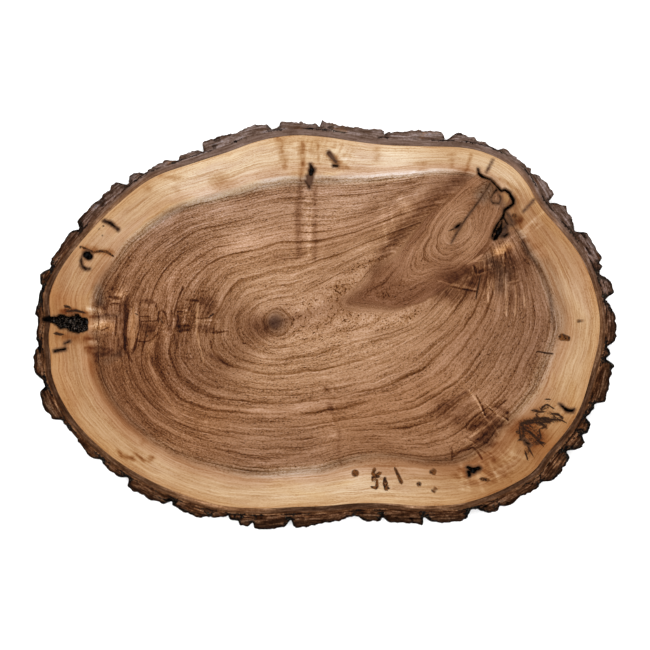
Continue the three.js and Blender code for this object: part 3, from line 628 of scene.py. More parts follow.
angles = face_angles(FACE_COLUMNS)
edge = wood_edge(angles, PITH)
shares = np.concatenate([np.linspace(start, end, rows + 1)[1:] for start, end, rows in FACE_ROWS])
top_out = np.repeat(shares[:, None], FACE_COLUMNS, 1)
low_out = marked_rings(angles)[:0:-1]
out = np.vstack([top_out, low_out])
all_x = np.append((PITH[0] + out * edge * np.cos(angles)).ravel(), [PITH[0], PITH[0]])
all_y = np.append((PITH[1] + out * edge * np.sin(angles)).ravel(), [PITH[1], PITH[1]])
on_top = np.arange(len(all_x)) < top_out.size
top_ring = ring_number(angles, top_out[:, 0])
low_ring = np.repeat(np.array(RING_LEVELS)[:0:-1], FACE_COLUMNS)
ring = np.concatenate([top_ring.ravel(), low_ring, [0, 0]])

fields = {"ring": ring}
opening = np.full(all_x.shape, FAR)
sink = np.zeros(all_x.shape)
for depth, path in OPENINGS:
    widest = max(half for _, _, half in path)
    gap = reach(all_x, all_y, path) + 0.2 * widest * cloud(all_x / 4.5, all_y / 4.5, seed=5, octaves=2)
    opening = np.minimum(opening, gap)
    sink = np.maximum(sink, depth * 0.001 * smooth(0.7, -1.5, gap))
rough_floor = np.clip(1 + 0.35 * cloud(all_x / 4, all_y / 4, seed=3, octaves=3), 0.3, 1.2)
height = np.where(on_top, WOOD_TOP - sink * rough_floor, 0.0)
height[-2] = WOOD_TOP
opening = np.where(on_top, opening, FAR)

for name, paths in (("track", TRACKS), ("mark", MARKS), ("stain", FINE_STAINS), ("pale", FINE_PALES)):
    across, gap = thin_strokes(all_x, all_y, paths)
    fields[name + "_across"] = across
    fields[name + "_gap"] = np.where(on_top, gap, FAR)
knot_out, knot_ring = knot_fields(all_x, all_y)
stroke_lists = (STAINS, PALES, WARMS, COOLS, CURLS, TORN)
stain, pale, warm, cool, curl, torn = [
    np.where(on_top, painted(all_x, all_y, strokes), 0.0) for strokes in stroke_lists
]
turn = np.degrees(np.arctan2(all_y - PITH[1], all_x - PITH[0]))
heart_edge = smooth(0.775, 0.8, ring) * smooth(0.845, 0.825, ring)
cool = np.maximum(cool, heart_edge * toned(turn, *GREY_EDGE))
golden_heart = toned(turn, 0.0, GOLDEN_SIDE) * smooth(0.4, 0.55, ring) * smooth(0.86, 0.8, ring)
warm = np.maximum(warm, golden_heart * on_top)
shade = toned(turn, *INNER_TONE)
for zone, start, end in ((OUTER_TONE, 0.35, 0.55), (EDGE_TONE, 0.765, 0.79), (SAP_TONE, 0.825, 0.86)):
    shade = shade + (toned(turn, *zone) - shade) * smooth(start, end, ring)
shade = shade + 0.15 * cloud(all_x / 40, all_y / 40, seed=8, octaves=2)

points = np.stack([all_x * UNIT, all_y * UNIT, height], -1)
top_rows = len(top_out)
quads = grid_faces(0, top_rows + len(low_out), FACE_COLUMNS)
column = np.arange(FACE_COLUMNS)
beside = (column + 1) % FACE_COLUMNS
last_row = (len(out) - 1) * FACE_COLUMNS
pith_top, pith_low = len(all_x) - 2, len(all_x) - 1
caps = np.concatenate([
    np.stack([np.full(FACE_COLUMNS, pith_top), column, beside], -1),
    np.stack([np.full(FACE_COLUMNS, pith_low), last_row + beside, last_row + column], -1),
])
wood = build_mesh("wood_disc", points, quads, caps)
fields.update(
    knot_out=knot_out, knot_ring=knot_ring, opening=opening, stain=stain, pale=pale, shade=shade, warm=warm,
    cool=cool, curl=curl, torn=torn, sink=sink * 1000 * on_top,
)
for name, values in fields.items():
    set_field(wood, name, values)
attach(wood, "root")
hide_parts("wood")


def add(tree, kind, inputs=(), **settings):
    """Adds a node with its settings, and links or sets its inputs, which are given by name or number."""
    node = tree.nodes.new(kind)
    for name, value in settings.items():
        setattr(node, name, value)
    for key, value in dict(inputs).items():
        if isinstance(value, bpy.types.NodeSocket):
            tree.links.new(value, node.inputs[key])
        else:
            node.inputs[key].default_value = value
    return node


def calc(tree, operation, *values):
    """Output of a Math node."""
    return add(tree, "ShaderNodeMath", enumerate(values), operation=operation).outputs[0]


def product(tree, first, second):
    """Product of two numbers."""
    return calc(tree, "MULTIPLY", first, second)


def total(tree, *terms):
    """Sum of terms, each a value and the number that it is multiplied by."""
    result = 0.0
    for value, factor in terms:
        result = calc(tree, "MULTIPLY_ADD", value, factor, result)
    return result


def step(tree, value, low, high):
    """Eased step from 0 where the value is low to 1 where it is high."""
    inputs = {"Value": value, "From Min": low, "From Max": high}
    return add(tree, "ShaderNodeMapRange", inputs, interpolation_type="SMOOTHSTEP").outputs[0]


def mixed(tree, share, first, second):
    """Colour between two, by a share."""
    return add(tree, "ShaderNodeMix", {0: share, 6: first, 7: second}, data_type="RGBA").outputs[2]


def read(tree, name):
    """A field stored on the piece."""
    return add(tree, "ShaderNodeAttribute", attribute_name=name).outputs["Fac"]


def times(tree, first, second):
    """Product of two colours."""
    inputs = {0: 1.0, 6: first, 7: second}
    return add(tree, "ShaderNodeMix", inputs, data_type="RGBA", blend_type="MULTIPLY").outputs[2]


def inked(tree, colour, ink, tone):
    """Colour darkened by an ink as many times over as the tone says, and paler where the tone is below 0."""
    return times(tree, colour, add(tree, "ShaderNodeGamma", {0: ink, 1: tone}).outputs[0])


def grainy(tree, place, scale, detail=2.0, roughness=0.5):
    """Noise about the middle value 0, from -0.5 to 0.5."""
    inputs = {"Vector": place, "Scale": scale, "Detail": detail, "Roughness": roughness}
    noise = add(tree, "ShaderNodeTexNoise", inputs).outputs["Fac"]
    return calc(tree, "SUBTRACT", noise, 0.5)


def paint(red, green, blue):
    """Colour given in display values of 0 to 255, as the light it sends back."""
    shares = np.array([red, green, blue]) / 255
    linear = np.where(shares <= 0.04045, shares / 12.92, ((shares + 0.055) / 1.055) ** 2.4)
    return (*(linear * PAINT_STRENGTH), 1.0)


def ramp(tree, value, stops):
    """Colour that runs through stops, each a place from 0 to 1 and a colour in display values."""
    node = add(tree, "ShaderNodeValToRGB", {"Fac": value})
    elements = node.color_ramp.elements
    elements[0].position, elements[1].position = stops[0][0], stops[-1][0]
    for place, _ in stops[1:-1]:
        elements.new(place)
    for element, (_, colour) in zip(elements, stops):
        element.color = paint(*colour)
    return node.outputs["Color"]


def stretched(tree, place, along, across, number):
    """Place stretched along the rings: x and y at a low scale, and the ring number at a high one."""
    x, y, _ = add(tree, "ShaderNodeSeparateXYZ", {0: place}).outputs
    parts = [product(tree, value, scale) for value, scale in ((x, along), (y, along), (number, across))]
    return add(tree, "ShaderNodeCombineXYZ", enumerate(parts)).outputs[0]


def drawn(tree, name, ragged, uneven, fade=2.2):
    """Cover of the thin strokes stored under a name, which fades out by so many half widths from their
    middle, with edges as uneven as the ragged value says."""
    across = calc(tree, "ABSOLUTE", read(tree, name + "_across"))
    edge = calc(tree, "MULTIPLY_ADD", ragged, uneven, across)
    near = step(tree, read(tree, name + "_gap"), 2.0, 0.9)
    return product(tree, step(tree, edge, fade, fade - 1.2), near)


def ring_curve(tree, number, start, end, lines):
    """Darkness of the growth rings between two ring numbers: each ring darkens outwards to its late wood and
    falls pale at once beyond it. Lines are pairs of ring number and darkness."""
    place = calc(tree, "DIVIDE", calc(tree, "SUBTRACT", number, start), end - start)
    node = add(tree, "ShaderNodeFloatCurve", {"Value": place})
    points = node.mapping.curves[0].points
    points[0].location, points[1].location = (0.0, 0.35), (1.0, 0.35)
    before, last = start, 0.0
    for at, dark in lines:
        width = at - before
        for spot, level in (
            (before + 0.05 * width, 0.33 - 0.14 * last), (before + 0.4 * width, 0.36),
            (at - 0.3 * width, 0.36 + 0.2 * dark), (at - min(0.006, 0.12 * width), 0.36 + 0.64 * dark),
        ):
            points.new((spot - start) / (end - start), level)
        before, last = at, dark
    for point in points:
        point.handle_type = "VECTOR"
    node.mapping.update()
    return calc(tree, "SUBTRACT", node.outputs[0], 0.36)


PAINT_STRENGTH = 0.48
HEART_INK = (0.615, 0.507, 0.372, 1.0)
SHADE_INK = (0.615, 0.525, 0.45, 1.0)
COOL_INK = (0.6, 0.55, 0.52, 1.0)
SAP_INK = (0.62, 0.46, 0.32, 1.0)
WOOD_COLOURS = (
    (0.0, (60, 34, 20)), (0.02, (90, 60, 42)), (0.04, (134, 96, 68)), (0.07, (164, 122, 90)),
    (0.1, (172, 130, 97)), (0.25, (176, 134, 100)), (0.35, (168, 125, 91)), (0.48, (170, 127, 95)),
    (0.6, (162, 121, 91)), (0.75, (157, 117, 89)), (0.79, (152, 114, 86)), (0.8, (156, 123, 97)),
    (0.813, (150, 117, 91)), (0.828, (178, 143, 115)), (0.845, (198, 163, 134)), (0.87, (208, 175, 145)),
    (0.9, (217, 190, 158)), (0.94, (220, 194, 162)), (0.98, (217, 187, 150)), (1.0, (208, 171, 130)),
)
KNOT_COLOURS = (
    (0.0, (90, 56, 34)), (0.1, (140, 98, 64)), (0.3, (162, 119, 87)), (0.8, (160, 116, 84)),
    (1.0, (148, 104, 74)),
)
INNER_LINES = (
    (0.03, 0.4), (0.065, 0.4), (0.1, 0.2), (0.13, 0.35), (0.165, 0.2), (0.2, 0.45), (0.24, 0.2),
    (0.285, 1.0), (0.31, 0.2), (0.335, 0.45), (0.365, 0.2), (0.395, 0.4), (0.44, 0.9), (0.465, 0.25),
    (0.495, 0.8),
)
OUTER_LINES = (
    (0.52, 0.25), (0.54, 0.4), (0.567, 0.85), (0.59, 0.25), (0.612, 0.4), (0.64, 0.8), (0.66, 0.2),
    (0.683, 0.45), (0.7, 0.2), (0.722, 0.8), (0.737, 0.25), (0.752, 0.45), (0.768, 0.3), (0.785, 0.75),
    (0.806, 0.9), (0.822, 0.25), (0.85, 0.12), (0.88, 0.08), (0.91, 0.06), (0.94, 0.08), (0.97, 0.05),
)

ROSY_SAP = paint(190, 152, 124)
GOLDEN_SAP = paint(222, 190, 142)
WARM_WOOD = paint(206, 142, 76)
COOL_WOOD = paint(138, 116, 96)
MARK_BROWN = paint(112, 66, 28)
MARK_BLACK = paint(30, 15, 6)
CHECK_BLACK = paint(26, 13, 6)
STRAND_BROWN = paint(36, 20, 10)
HOLE_RIM = paint(102, 69, 46)
# The openings' colours: brown where shallow, and the black of painted shade deep down.
SHALLOW_HOLE = paint(90, 62, 45)
DEEP_HOLE_SHADE = paint(9, 6, 5)
DEBRIS = paint(116, 100, 88)

finish = bpy.data.materials.new("sanded_walnut")
finish.use_nodes = True
tree = finish.node_tree
surface = tree.nodes["Principled BSDF"]
place = add(tree, "ShaderNodeTexCoord").outputs["Object"]
ring_at, knot_ring_at, knot_gap = read(tree, "ring"), read(tree, "knot_ring"), read(tree, "knot_out")
drift = grainy(tree, place, 75, 2)
flutter = grainy(tree, place, 420, 2, 0.6)
x_at = add(tree, "ShaderNodeSeparateXYZ", {0: place}).outputs[0]
knot_edge = total(tree, (knot_gap, 1.0), (flutter, 4.0))
tail = step(tree, x_at, 0.075, 0.02)
in_knot = step(
    tree, knot_edge, total(tree, (tail, 7.0), (1.0, 1.0)), total(tree, (tail, -7.0), (1.0, -1.0)),
)
trunk_number = total(tree, (ring_at, 1.0), (drift, 0.016), (flutter, 0.003))
knot_number = total(tree, (knot_ring_at, 0.55), (drift, 0.02), (flutter, 0.005))
number = add(tree, "ShaderNodeMix", {0: in_knot, 2: trunk_number, 3: knot_number}).outputs[0]
rings = calc(
    tree, "ADD",
    product(tree, ring_curve(tree, number, 0.0, 0.5, INNER_LINES), step(tree, number, 0.501, 0.499)),
    product(tree, ring_curve(tree, number, 0.5, 1.0, OUTER_LINES), step(tree, number, 0.499, 0.501)),
)
bands = grainy(tree, stretched(tree, place, 22, 26, number), 1.0, 2, 0.6)
fibres = grainy(tree, stretched(tree, place, 55, 150, number), 1.0, 3, 0.6)
speckle = grainy(tree, stretched(tree, place, 750, 300, number), 1.0, 1, 0.6)
vessels = grainy(tree, stretched(tree, place, 600, 360, number), 1.0, 1, 0.5)
in_heart = step(tree, trunk_number, 0.845, 0.795)
in_sap = calc(tree, "SUBTRACT", 1.0, in_heart)
sap_lines = grainy(tree, stretched(tree, place, 30, 170, number), 1.0, 3, 0.65)
left_side = product(tree, step(tree, x_at, -0.06, -0.11), in_heart)
fineness = total(tree, (in_heart, 0.78), (left_side, 0.5), (1.0, 0.22))
pith_point = (PITH[0] * UNIT, PITH[1] * UNIT, 0)
from_pith = add(tree, "ShaderNodeVectorMath", {0: place, 1: pith_point}, operation="SUBTRACT").outputs[0]
flat = add(tree, "ShaderNodeVectorMath", {0: from_pith, 1: (1, 1, 0)}, operation="MULTIPLY").outputs[0]
facing = add(tree, "ShaderNodeVectorMath", {0: flat}, operation="NORMALIZE").outputs[0]
rays = grainy(tree, stretched(tree, facing, 46, 12, number), 1.0, 2, 0.6)
blocks = grainy(tree, stretched(tree, facing, 15, 30, number), 1.0, 2, 0.6)
ripples = product(tree, total(tree, (rays, 4.0), (blocks, 5.0)), read(tree, "curl"))
pores = product(
    tree, step(tree, total(tree, (vessels, 1.0), (bands, 0.3), (fibres, 0.25)), 0.1, 0.19),
    total(tree, (in_heart, 0.85), (1.0, 0.15)),
)
crease = step(tree, calc(tree, "ABSOLUTE", knot_edge), 1.6, 0.2)
patchy = total(tree, (flutter, 2.2), (fibres, 2.0), (1.0, 1.0))
ring_strength = total(tree, (bands, 3.0), (in_knot, -0.4), (1.0, 1.0))
mottle = grainy(tree, place, 1300, 2)
ragged = total(tree, (flutter, 3.0), (mottle, 1.6))
dark_lines = product(tree, drawn(tree, "stain", ragged, 0.5), patchy)
pale_lines = drawn(tree, "pale", ragged, 0.4)
calm = total(tree, (pale_lines, -0.7), (1.0, 1.0))
grain_tone = product(tree, total(tree, (fibres, 2.6), (speckle, 3.6), (bands, 2.0)), calm)
knot_crease = product(tree, crease, calc(tree, "SUBTRACT", 1.0, tail))
tone = total(
    tree, (product(tree, rings, ring_strength), 2.7), (product(tree, grain_tone, fineness), 1.2),
    (pores, 3.2), (product(tree, ripples, calm), 1.0), (dark_lines, 2.4), (knot_crease, 0.35),
    (product(tree, sap_lines, in_sap), 2.6),
)
tone = calc(tree, "MAXIMUM", tone, product(tree, tone, 0.6))
broad_tone = total(
    tree, (product(tree, read(tree, "stain"), patchy), 2.9), (read(tree, "shade"), 1.0),
    (read(tree, "torn"), 0.6), (pale_lines, -1.1), (read(tree, "pale"), -1.4),
)
palest = calc(tree, "MINIMUM", read(tree, "shade"), -0.5)
broad_tone = calc(tree, "MAXIMUM", broad_tone, palest)
body_colour = mixed(
    tree, in_knot, ramp(tree, total(tree, (ring_at, 1.0), (drift, 0.02)), WOOD_COLOURS),
    ramp(tree, knot_ring_at, KNOT_COLOURS),
)
patches = grainy(tree, stretched(tree, place, 14, 9, number), 1.0, 3, 0.6)
rosy = product(tree, step(tree, patches, 0.02, 0.2), in_sap)
body_colour = mixed(tree, product(tree, rosy, 0.55), body_colour, ROSY_SAP)
golden_sap = product(tree, step(tree, patches, -0.02, -0.2), in_sap)
body_colour = mixed(tree, product(tree, golden_sap, 0.5), body_colour, GOLDEN_SAP)
body_colour = mixed(tree, product(tree, read(tree, "warm"), 0.5), body_colour, WARM_WOOD)
body_colour = mixed(tree, product(tree, read(tree, "cool"), 0.75), body_colour, COOL_WOOD)
colour = inked(tree, body_colour, mixed(tree, in_heart, SAP_INK, HEART_INK), tone)
shade_ink = mixed(tree, read(tree, "cool"), SHADE_INK, COOL_INK)
colour = inked(tree, colour, mixed(tree, in_heart, SAP_INK, shade_ink), broad_tone)
blackened = step(tree, total(tree, (flutter, 0.7), (mottle, 1.0)), -0.1, 0.1)
mark_colour = mixed(tree, blackened, MARK_BROWN, MARK_BLACK)
check_colour = mixed(tree, 0.75, mark_colour, CHECK_BLACK)
colour = mixed(tree, drawn(tree, "track", ragged, 0.4), colour, mark_colour)
colour = mixed(tree, drawn(tree, "mark", ragged, 0.6, 1.8), colour, check_colour)
slant = {"Vector": place, "Rotation": (0, 0, -0.6), "Scale": (0.006, 0.0015, 1)}
slanted = add(tree, "ShaderNodeMapping", slant, vector_type="TEXTURE").outputs[0]
contour = calc(tree, "ABSOLUTE", grainy(tree, slanted, 1.0, 3, 0.6))
strands = product(tree, step(tree, contour, 0.06, 0.02), step(tree, read(tree, "torn"), 0.3, 0.65))
colour = mixed(tree, strands, colour, STRAND_BROWN)
gap = calc(tree, "ADD", read(tree, "opening"), ragged)
colour = mixed(tree, product(tree, step(tree, gap, 3.0, 0.2), 0.75), colour, HOLE_RIM)
# Painted shade in the openings: darker the deeper they go, down to black; in the pocket this black is also
# the bark's own.
depth_shade = step(tree, total(tree, (read(tree, "sink"), 1.0), (flutter, 3.0)), 1.2, 3.0)
hole_colour = mixed(tree, depth_shade, SHALLOW_HOLE, DEEP_HOLE_SHADE)
in_pocket = step(tree, read(tree, "sink"), 5.2, 7.0)
debris = product(tree, step(tree, total(tree, (flutter, 0.8), (mottle, 1.0)), 0.04, 0.16), in_pocket)
hole_colour = mixed(tree, product(tree, debris, 0.8), hole_colour, DEBRIS)
hollow = step(tree, gap, 0.5, -0.5)
colour = mixed(tree, hollow, colour, hole_colour)
tree.links.new(colour, surface.inputs["Base Color"])
roughness = total(tree, (fibres, 0.25), (pores, 0.2), (hollow, -0.2), (1.0, 0.5))
tree.links.new(roughness, surface.inputs["Roughness"])
tree.links.new(product(tree, in_pocket, 0.1), surface.inputs["Coat Weight"])
surface.inputs["Specular IOR Level"].default_value = 0.03
relief = total(tree, (pores, -1.0), (fibres, 0.5))
bump = add(tree, "ShaderNodeBump", {"Height": relief, "Strength": 0.25, "Distance": 0.0002}).outputs[0]
tree.links.new(bump, surface.inputs["Normal"])
wood.data.materials.append(finish)


# The bark: the trunk's own bark, left on the slice and sawn with it. A smooth inner layer meets the wood,
# and outside it thick plates lie in thin leaves, parted by fissures and crumbled at the saw cut.
# One side, towards the top, is painted lighter and greyer, standing in for the light that falls on it.
BARK_COLUMNS = 1600
CUT_ROWS = 26
PLATE_ROWS = 22
FOOT_ROWS = 4
INNER_BARK = 0.0046
LEAF_THICKNESS = 0.0016
BARK_RADIUS = 0.19
FACE_LEVELS = (0.0, 0.14, 0.36, 0.6, 0.84)
ROUNDING = 9
POCKET_MOUTH = math.radians(179)
POCKET_DROP = 0.008
# Turn of the side painted lighter and greyer, as lit, towards the top.
LIT_SIDE_TURN = math.radians(8)
FRESH_INNER_BARK = (
    (240, 13, 9, 0.9), (212, 8, 8, 0.3), (300, 10, 8, 0.6), (2, 10, 8, 0.55), (150, 12, 10, 0.6),
    (30, 10, 8, 0.55),
)


def bark_outline(angles, chosen, points):
    """Radius at each angle of the bark's outer points that are chosen by a mask, averaged over a few columns
    so that the plates' corners are round."""
    x, y = points[chosen, 0], points[chosen, 1]
    run = np.interp(angles, np.arctan2(y, x), np.hypot(x, y), period=2 * math.pi)
    window = np.hanning(ROUNDING)
    half = ROUNDING // 2
    return np.convolve(np.concatenate([run[-half:], run, run[:half]]), window / window.sum(), "valid")


bark_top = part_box("bark")[1].z
bark_angles = np.linspace(0, 2 * math.pi, BARK_COLUMNS, endpoint=False)
inner_radius = wood_edge(bark_angles, (0.0, 0.0)) * UNIT
solid = np.array([v.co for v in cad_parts["bark"].data.vertices])
solid_out = np.hypot(solid[:, 0], solid[:, 1])
solid_out -= wood_edge(np.arctan2(solid[:, 1], solid[:, 0]), (0.0, 0.0)) * UNIT
outside = solid_out > INNER_BARK + 0.0004
level_radii = [
    bark_outline(bark_angles, outside & (np.abs(solid[:, 2] - share * bark_top) < 1e-5), solid)
    for share in FACE_LEVELS
]
level_radii.append(bark_outline(bark_angles, outside & (solid[:, 2] > 0.9 * bark_top), solid))
level_heights = [share * bark_top for share in FACE_LEVELS] + [bark_top - 0.0012]


def round_noise(cell, third, seed, octaves=1):
    """Noise round the ring with cells of one length along it and a third coordinate of its own."""
    spread = BARK_RADIUS / cell
    return cloud(spread * np.cos(bark_angles), spread * np.sin(bark_angles), third, seed, octaves)


def outer_radius(height):
    """Radius of the plates' outer face at heights (rows) round the bark (columns): in proportion between the
    levels of the solid, and roughened by crumbs of two sizes."""
    radius = np.repeat(level_radii[0][None, :], len(height), 0)
    for low, high, near, far in zip(level_heights, level_heights[1:], level_radii, level_radii[1:]):
        radius = radius + np.clip((height[:, None] - low) / (high - low), 0, 1) * (far - near)
    radius = radius + 0.0011 * round_noise(0.006, height[:, None] / 0.02, seed=61, octaves=2)
    radius = radius + 0.0008 * round_noise(0.0024, height[:, None] / 0.005, seed=71, octaves=2)
    floor = inner_radius + INNER_BARK + 0.0022 + 0.0006 * round_noise(0.005, 0.5, seed=63)
    floor = floor + 0.0014 * smooth(-0.75, -0.9, np.cos(bark_angles))
    floor = floor + 0.0018 * smooth(0.09, 0.03, np.abs(bark_angles - POCKET_MOUTH))
    return np.maximum(radius, floor)


thickness = outer_radius(np.array([bark_top]))[0] - inner_radius
spread = np.array([np.roll(thickness, shift) for shift in range(-14, 15)])
notch = smooth(0.0012, 0.004, spread.max(0) - thickness)
broken = np.array([np.roll(notch, shift) * (1 - abs(shift) / 12) for shift in range(-11, 12)]).max(0)
cut_share = np.linspace(0, 1, CUT_ROWS + 1)[:, None]
cut_layer = cut_share * thickness
cut_radius = inner_radius + cut_layer
rim = np.full(cut_radius.shape, 1.0)
for shift in range(-10, 11):
    sideways = cut_radius * (2 * math.pi / BARK_COLUMNS) * shift
    outwards = np.maximum(np.roll(cut_radius[-1], -shift) - cut_radius, 0)
    rim = np.minimum(rim, np.hypot(sideways, outwards))
leaves = round_noise(0.014, cut_layer / LEAF_THICKNESS, seed=21, octaves=3)
crumble = round_noise(0.004, cut_layer / 0.003, seed=31, octaves=3)
outer_share = smooth(INNER_BARK, INNER_BARK + 0.002, cut_layer)
fall = smooth(0.0035, 0.0, rim)
cut_drop = 0.00008 + 0.00012 * (1 + leaves) * (1 - outer_share)
cut_drop = cut_drop + outer_share * (0.0007 + 0.0006 * leaves + 0.0004 * crumble)
cut_drop = cut_drop + outer_share * fall * (0.0016 + 0.0009 * round_noise(0.006, 0.5, seed=41, octaves=2))
pitting = round_noise(0.006, cut_layer / 0.004, seed=51, octaves=2)
pits = outer_share * smooth(0.6, 0.95, pitting + 0.25 * fall)
cut_drop = np.maximum(cut_drop + 0.003 * pits, 0.00004)
cut_height = bark_top - cut_drop

face_share = np.linspace(1, 0, PLATE_ROWS + 1)[1:, None]
face_height = face_share * cut_height[-1]
furrows = round_noise(0.0045, face_height / 0.02, seed=81, octaves=3)
flakes = round_noise(0.0016, face_height / 0.004, seed=91, octaves=2)
settling = smooth(1.0, 0.9, face_share)
face_relief = 0.0009 * furrows + 0.0004 * flakes - 0.0016 * smooth(0.45, 0.05, np.abs(furrows))
face_layer = outer_radius(face_share[:, 0] * bark_top) + settling * face_relief - inner_radius
face_layer = np.maximum(face_layer, INNER_BARK)

foot_share = np.linspace(1, 0, FOOT_ROWS + 1)[1:, None]
foot_layer = foot_share * face_layer[-1]

layer = np.vstack([cut_layer, face_layer, foot_layer])
height = np.vstack([cut_height, face_height, np.zeros(foot_layer.shape)])
radius = inner_radius + layer
bark_x, bark_y = radius * np.cos(bark_angles), radius * np.sin(bark_angles)
bark_opening = reach(bark_x / UNIT, bark_y / UNIT, OPENINGS[0][1])
height = height - POCKET_DROP * smooth(1.0, -2.0, bark_opening) * (height / bark_top)
rows = len(height)
points = np.stack([bark_x, bark_y, height], -1).reshape(-1, 3)
quads = grid_faces(0, rows, BARK_COLUMNS)
column = np.arange(BARK_COLUMNS)
beside = (column + 1) % BARK_COLUMNS
last_row = (rows - 1) * BARK_COLUMNS
closing = np.stack([last_row + column, column, beside, last_row + beside], -1)
bark = build_mesh("bark_ring", points, np.concatenate([quads, closing]), np.zeros((0, 3), int))
# Painted shade in the recesses: darker in the pits, down the crumbled rim at the cut, in the furrows of the
# outer face and along the foot by the floor; less of it on the lighter side.
painted_recess_shade = np.vstack([
    np.maximum(pits, fall * outer_share),
    smooth(0.2, -0.9, furrows + 0.3 * flakes),
    np.full(foot_layer.shape, 0.3),
])
# Painted light: the side towards the top is painted lighter and greyer, with less painted shade on it.
painted_light_side = np.repeat(smooth(0.0, 0.85, np.sin(bark_angles + LIT_SIDE_TURN))[None, :], rows, 0)
painted_recess_shade = painted_recess_shade * (1 - 0.65 * painted_light_side)
fresh = toned(np.degrees(bark_angles), 0.0, FRESH_INNER_BARK)
fresh = np.repeat(fresh[None, :], rows, 0) * smooth(0.0045, 0.0015, layer)
broken = np.repeat(broken[None, :], rows, 0)
bark_fields = {
    "layer": layer, "painted_recess_shade": painted_recess_shade, "painted_light_side": painted_light_side,
    "opening": bark_opening, "broken": broken, "fresh": fresh,
}
for name, values in bark_fields.items():
    set_field(bark, name, values)
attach(bark, "root")
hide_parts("bark")

BARK_INK = (0.42, 0.345, 0.28, 1.0)
# Bark colours by depth: on the side painted shaded, and lighter and greyer on the side painted lit.
SHADED_SIDE_COLOURS = (
    (0.0, (56, 34, 20)), (0.02, (74, 49, 33)), (0.16, (72, 47, 31)), (0.24, (90, 56, 32)),
    (0.34, (75, 45, 26)), (0.6, (66, 41, 24)), (0.85, (46, 29, 18)),
)
LIT_SIDE_COLOURS = (
    (0.0, (96, 72, 58)), (0.02, (114, 90, 78)), (0.2, (112, 90, 79)), (0.36, (112, 91, 81)),
    (0.85, (114, 95, 87)),
)
FRESH_BARK = paint(140, 98, 66)
RUST = paint(136, 88, 54)
STREAK = paint(150, 118, 94)
CRACK_BLACK = paint(12, 7, 5)
# Black of the painted shadow at the notches.
NOTCH_SHADOW_BLACK = paint(9, 6, 5)
SEAM_BLACK = paint(12, 8, 7)
# Grey of the painted glints on the black notch ends.
GLINT_GREY = paint(112, 104, 88)
GREY_FLECK = paint(122, 114, 98)
POCKET_BLACK = paint(16, 13, 12)
finish = bpy.data.materials.new("walnut_bark")
finish.use_nodes = True
tree = finish.node_tree
surface = tree.nodes["Principled BSDF"]
place = add(tree, "ShaderNodeTexCoord").outputs["Object"]
depth = product(tree, read(tree, "layer"), 1000.0)
blotch = grainy(tree, place, 60, 3, 0.6)
grit = grainy(tree, place, 420, 3, 0.65)
speck = grainy(tree, place, 1100, 2, 0.6)
sheets = grainy(tree, stretched(tree, place, 55, 0.35, depth), 1.0, 3, 0.65)
lines = grainy(tree, stretched(tree, place, 70, 0.7, depth), 1.0, 2, 0.6)
outer = step(tree, depth, 4.2, 5.4)
painted_light_share = read(tree, "painted_light_side")
layered = total(tree, (depth, 0.05), (sheets, 0.08))
# Painted light: lit and shaded copies of the bark colour, blended round the ring.
bark_colour = mixed(
    tree, painted_light_share, ramp(tree, layered, SHADED_SIDE_COLOURS), ramp(tree, layered, LIT_SIDE_COLOURS),
)
bark_colour = mixed(tree, read(tree, "fresh"), bark_colour, FRESH_BARK)
rust = product(tree, step(tree, total(tree, (blotch, 1.0), (sheets, 0.8)), 0.1, 0.25), outer)
bark_colour = mixed(tree, product(tree, rust, 0.5), bark_colour, RUST)
streaks = product(tree, step(tree, total(tree, (lines, 1.0), (speck, 0.3)), 0.14, 0.24), outer)
bark_colour = mixed(tree, product(tree, streaks, 0.6), bark_colour, STREAK)
roughened = total(tree, (sheets, 6.0), (lines, 8.5), (grit, 3.2), (speck, 3.4), (1.0, 0.1))
# The texture is softer on the side painted lit.
contrast = product(
    tree, total(tree, (painted_light_share, -0.5), (1.0, 1.0)), total(tree, (outer, 0.55), (1.0, 0.45)),
)
# Tone: the texture, and the painted shade of the recesses.
tone = total(tree, (product(tree, roughened, contrast), 1.0), (read(tree, "painted_recess_shade"), 0.8))
colour = inked(tree, bark_colour, BARK_INK, tone)
split = total(tree, (lines, 1.0), (sheets, 0.9), (grit, 0.4), (read(tree, "painted_recess_shade"), -0.16))
# Outer bark away from the side painted lit, where black cracks and painted notch shadow show most.
outer_off_lit_side = product(tree, outer, total(tree, (painted_light_share, -0.7), (1.0, 1.0)))
cracks = product(tree, step(tree, split, -0.17, -0.29), outer_off_lit_side)
colour = mixed(tree, cracks, colour, CRACK_BLACK)
# Painted shadow: crumbly black at the plates' ends by the notches and in the recesses, away from the lighter
# side.
ends = total(tree, (read(tree, "broken"), 0.75), (read(tree, "painted_recess_shade"), 0.3), (grit, 2.2), (blotch, 1.2))
painted_notch_shadow = product(tree, step(tree, ends, 0.62, 0.82), outer_off_lit_side)
colour = mixed(tree, painted_notch_shadow, colour, NOTCH_SHADOW_BLACK)
seam_at = calc(tree, "ABSOLUTE", total(tree, (depth, 1.0), (grit, 5.0), (1.0, -5.6)))
parted = step(tree, total(tree, (read(tree, "broken"), 0.8), (blotch, 1.8)), 0.15, 0.4)
seam = product(tree, step(tree, seam_at, 0.7, 0.2), parted)
colour = mixed(tree, seam, colour, SEAM_BLACK)
# Painted highlights: grey glints on the crumbly black at the notches.
painted_glints = product(tree, step(tree, speck, 0.1, 0.2), painted_notch_shadow)
colour = mixed(tree, product(tree, painted_glints, 0.7), colour, GLINT_GREY)
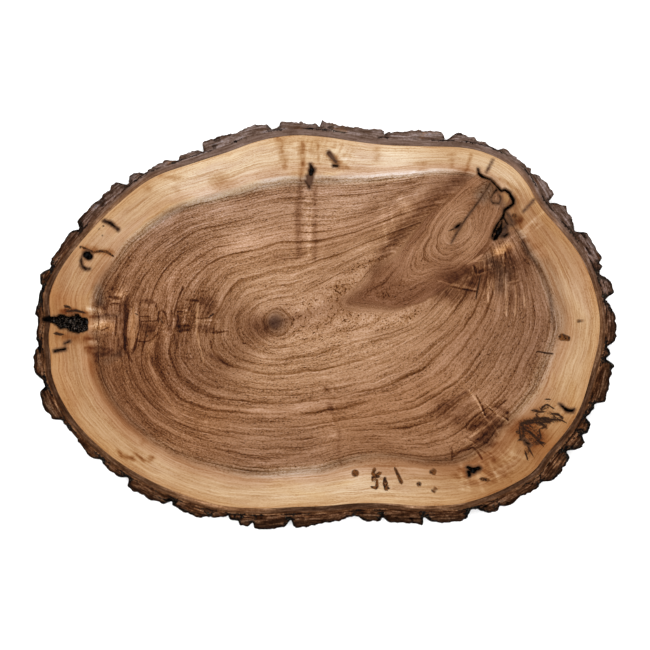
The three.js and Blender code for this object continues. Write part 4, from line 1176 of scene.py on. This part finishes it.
# Grey flecks on the outer bark, more of them on the lighter side towards the top.
fleck_share = product(tree, outer, total(tree, (painted_light_share, 0.7), (1.0, 0.3)))
grey_flecks = product(tree, step(tree, total(tree, (blotch, 1.0), (speck, 0.9)), 0.16, 0.3), fleck_share)
colour = mixed(tree, product(tree, grey_flecks, 0.45), colour, GREY_FLECK)
hollow = step(tree, total(tree, (read(tree, "opening"), 1.0), (speck, 3.0)), 1.5, -1.0)
colour = mixed(tree, hollow, colour, POCKET_BLACK)
tree.links.new(colour, surface.inputs["Base Color"])
tree.links.new(total(tree, (speck, 0.2), (1.0, 0.82)), surface.inputs["Roughness"])
surface.inputs["Specular IOR Level"].default_value = 0.02
relief = total(tree, (sheets, 1.0), (lines, 1.0), (speck, 0.6))
bump = add(tree, "ShaderNodeBump", {"Height": relief, "Strength": 0.5, "Distance": 0.0008}).outputs[0]
tree.links.new(bump, surface.inputs["Normal"])
bark.data.materials.append(finish)

# The stage: a plain pale floor under the slice, a soft lamp overhead and an even white sky.
# The camera looks straight down on the slice, and at the face its image is IMAGE_WIDTH UNITs wide.
FLOOR_HALF = 6.0
CAMERA_HEIGHT = 2.0
IMAGE_WIDTH = 650
SENSOR = 36.0
FLOOR_COLOUR = (0.9, 0.9, 0.9, 1)
SKY_STRENGTH = 1.7
LAMP_SPOT = (-0.2, 0.5, 1.9)
LAMP_SIZE = 2.4
LAMP_POWER = 43
corners = np.array([(-1, -1, 0), (1, -1, 0), (1, 1, 0), (-1, 1, 0)]) * FLOOR_HALF
floor = build_mesh("floor", corners, np.array([[0, 1, 2, 3]]), np.zeros((0, 3), int))
floor_paint = bpy.data.materials.new("floor_paint")
floor_paint.use_nodes = True
floor_surface = floor_paint.node_tree.nodes["Principled BSDF"]
floor_surface.inputs["Base Color"].default_value = FLOOR_COLOUR
floor_surface.inputs["Roughness"].default_value = 0.9
floor.data.materials.append(floor_paint)

world = bpy.data.worlds.new("studio")
bpy.context.scene.world = world
world.use_nodes = True
background = world.node_tree.nodes["Background"]
background.inputs["Color"].default_value = (1, 1, 1, 1)
background.inputs["Strength"].default_value = SKY_STRENGTH

lamp = bpy.data.lights.new("top_light", "AREA")
lamp.size = LAMP_SIZE
lamp.energy = LAMP_POWER
holder = bpy.data.objects.new("top_light", lamp)
holder.location = LAMP_SPOT
holder.rotation_euler = (-mathutils.Vector(LAMP_SPOT)).to_track_quat("-Z", "Y").to_euler()
bpy.context.collection.objects.link(holder)

camera = bpy.data.cameras.new("camera")
camera.sensor_width = SENSOR
camera.lens = SENSOR * CAMERA_HEIGHT / (IMAGE_WIDTH * UNIT)
eye = bpy.data.objects.new("camera", camera)
eye.location = (0, 0, WOOD_TOP + CAMERA_HEIGHT)
bpy.context.collection.objects.link(eye)
bpy.context.scene.camera = eye
bpy.context.scene.view_settings.view_transform = "Standard"
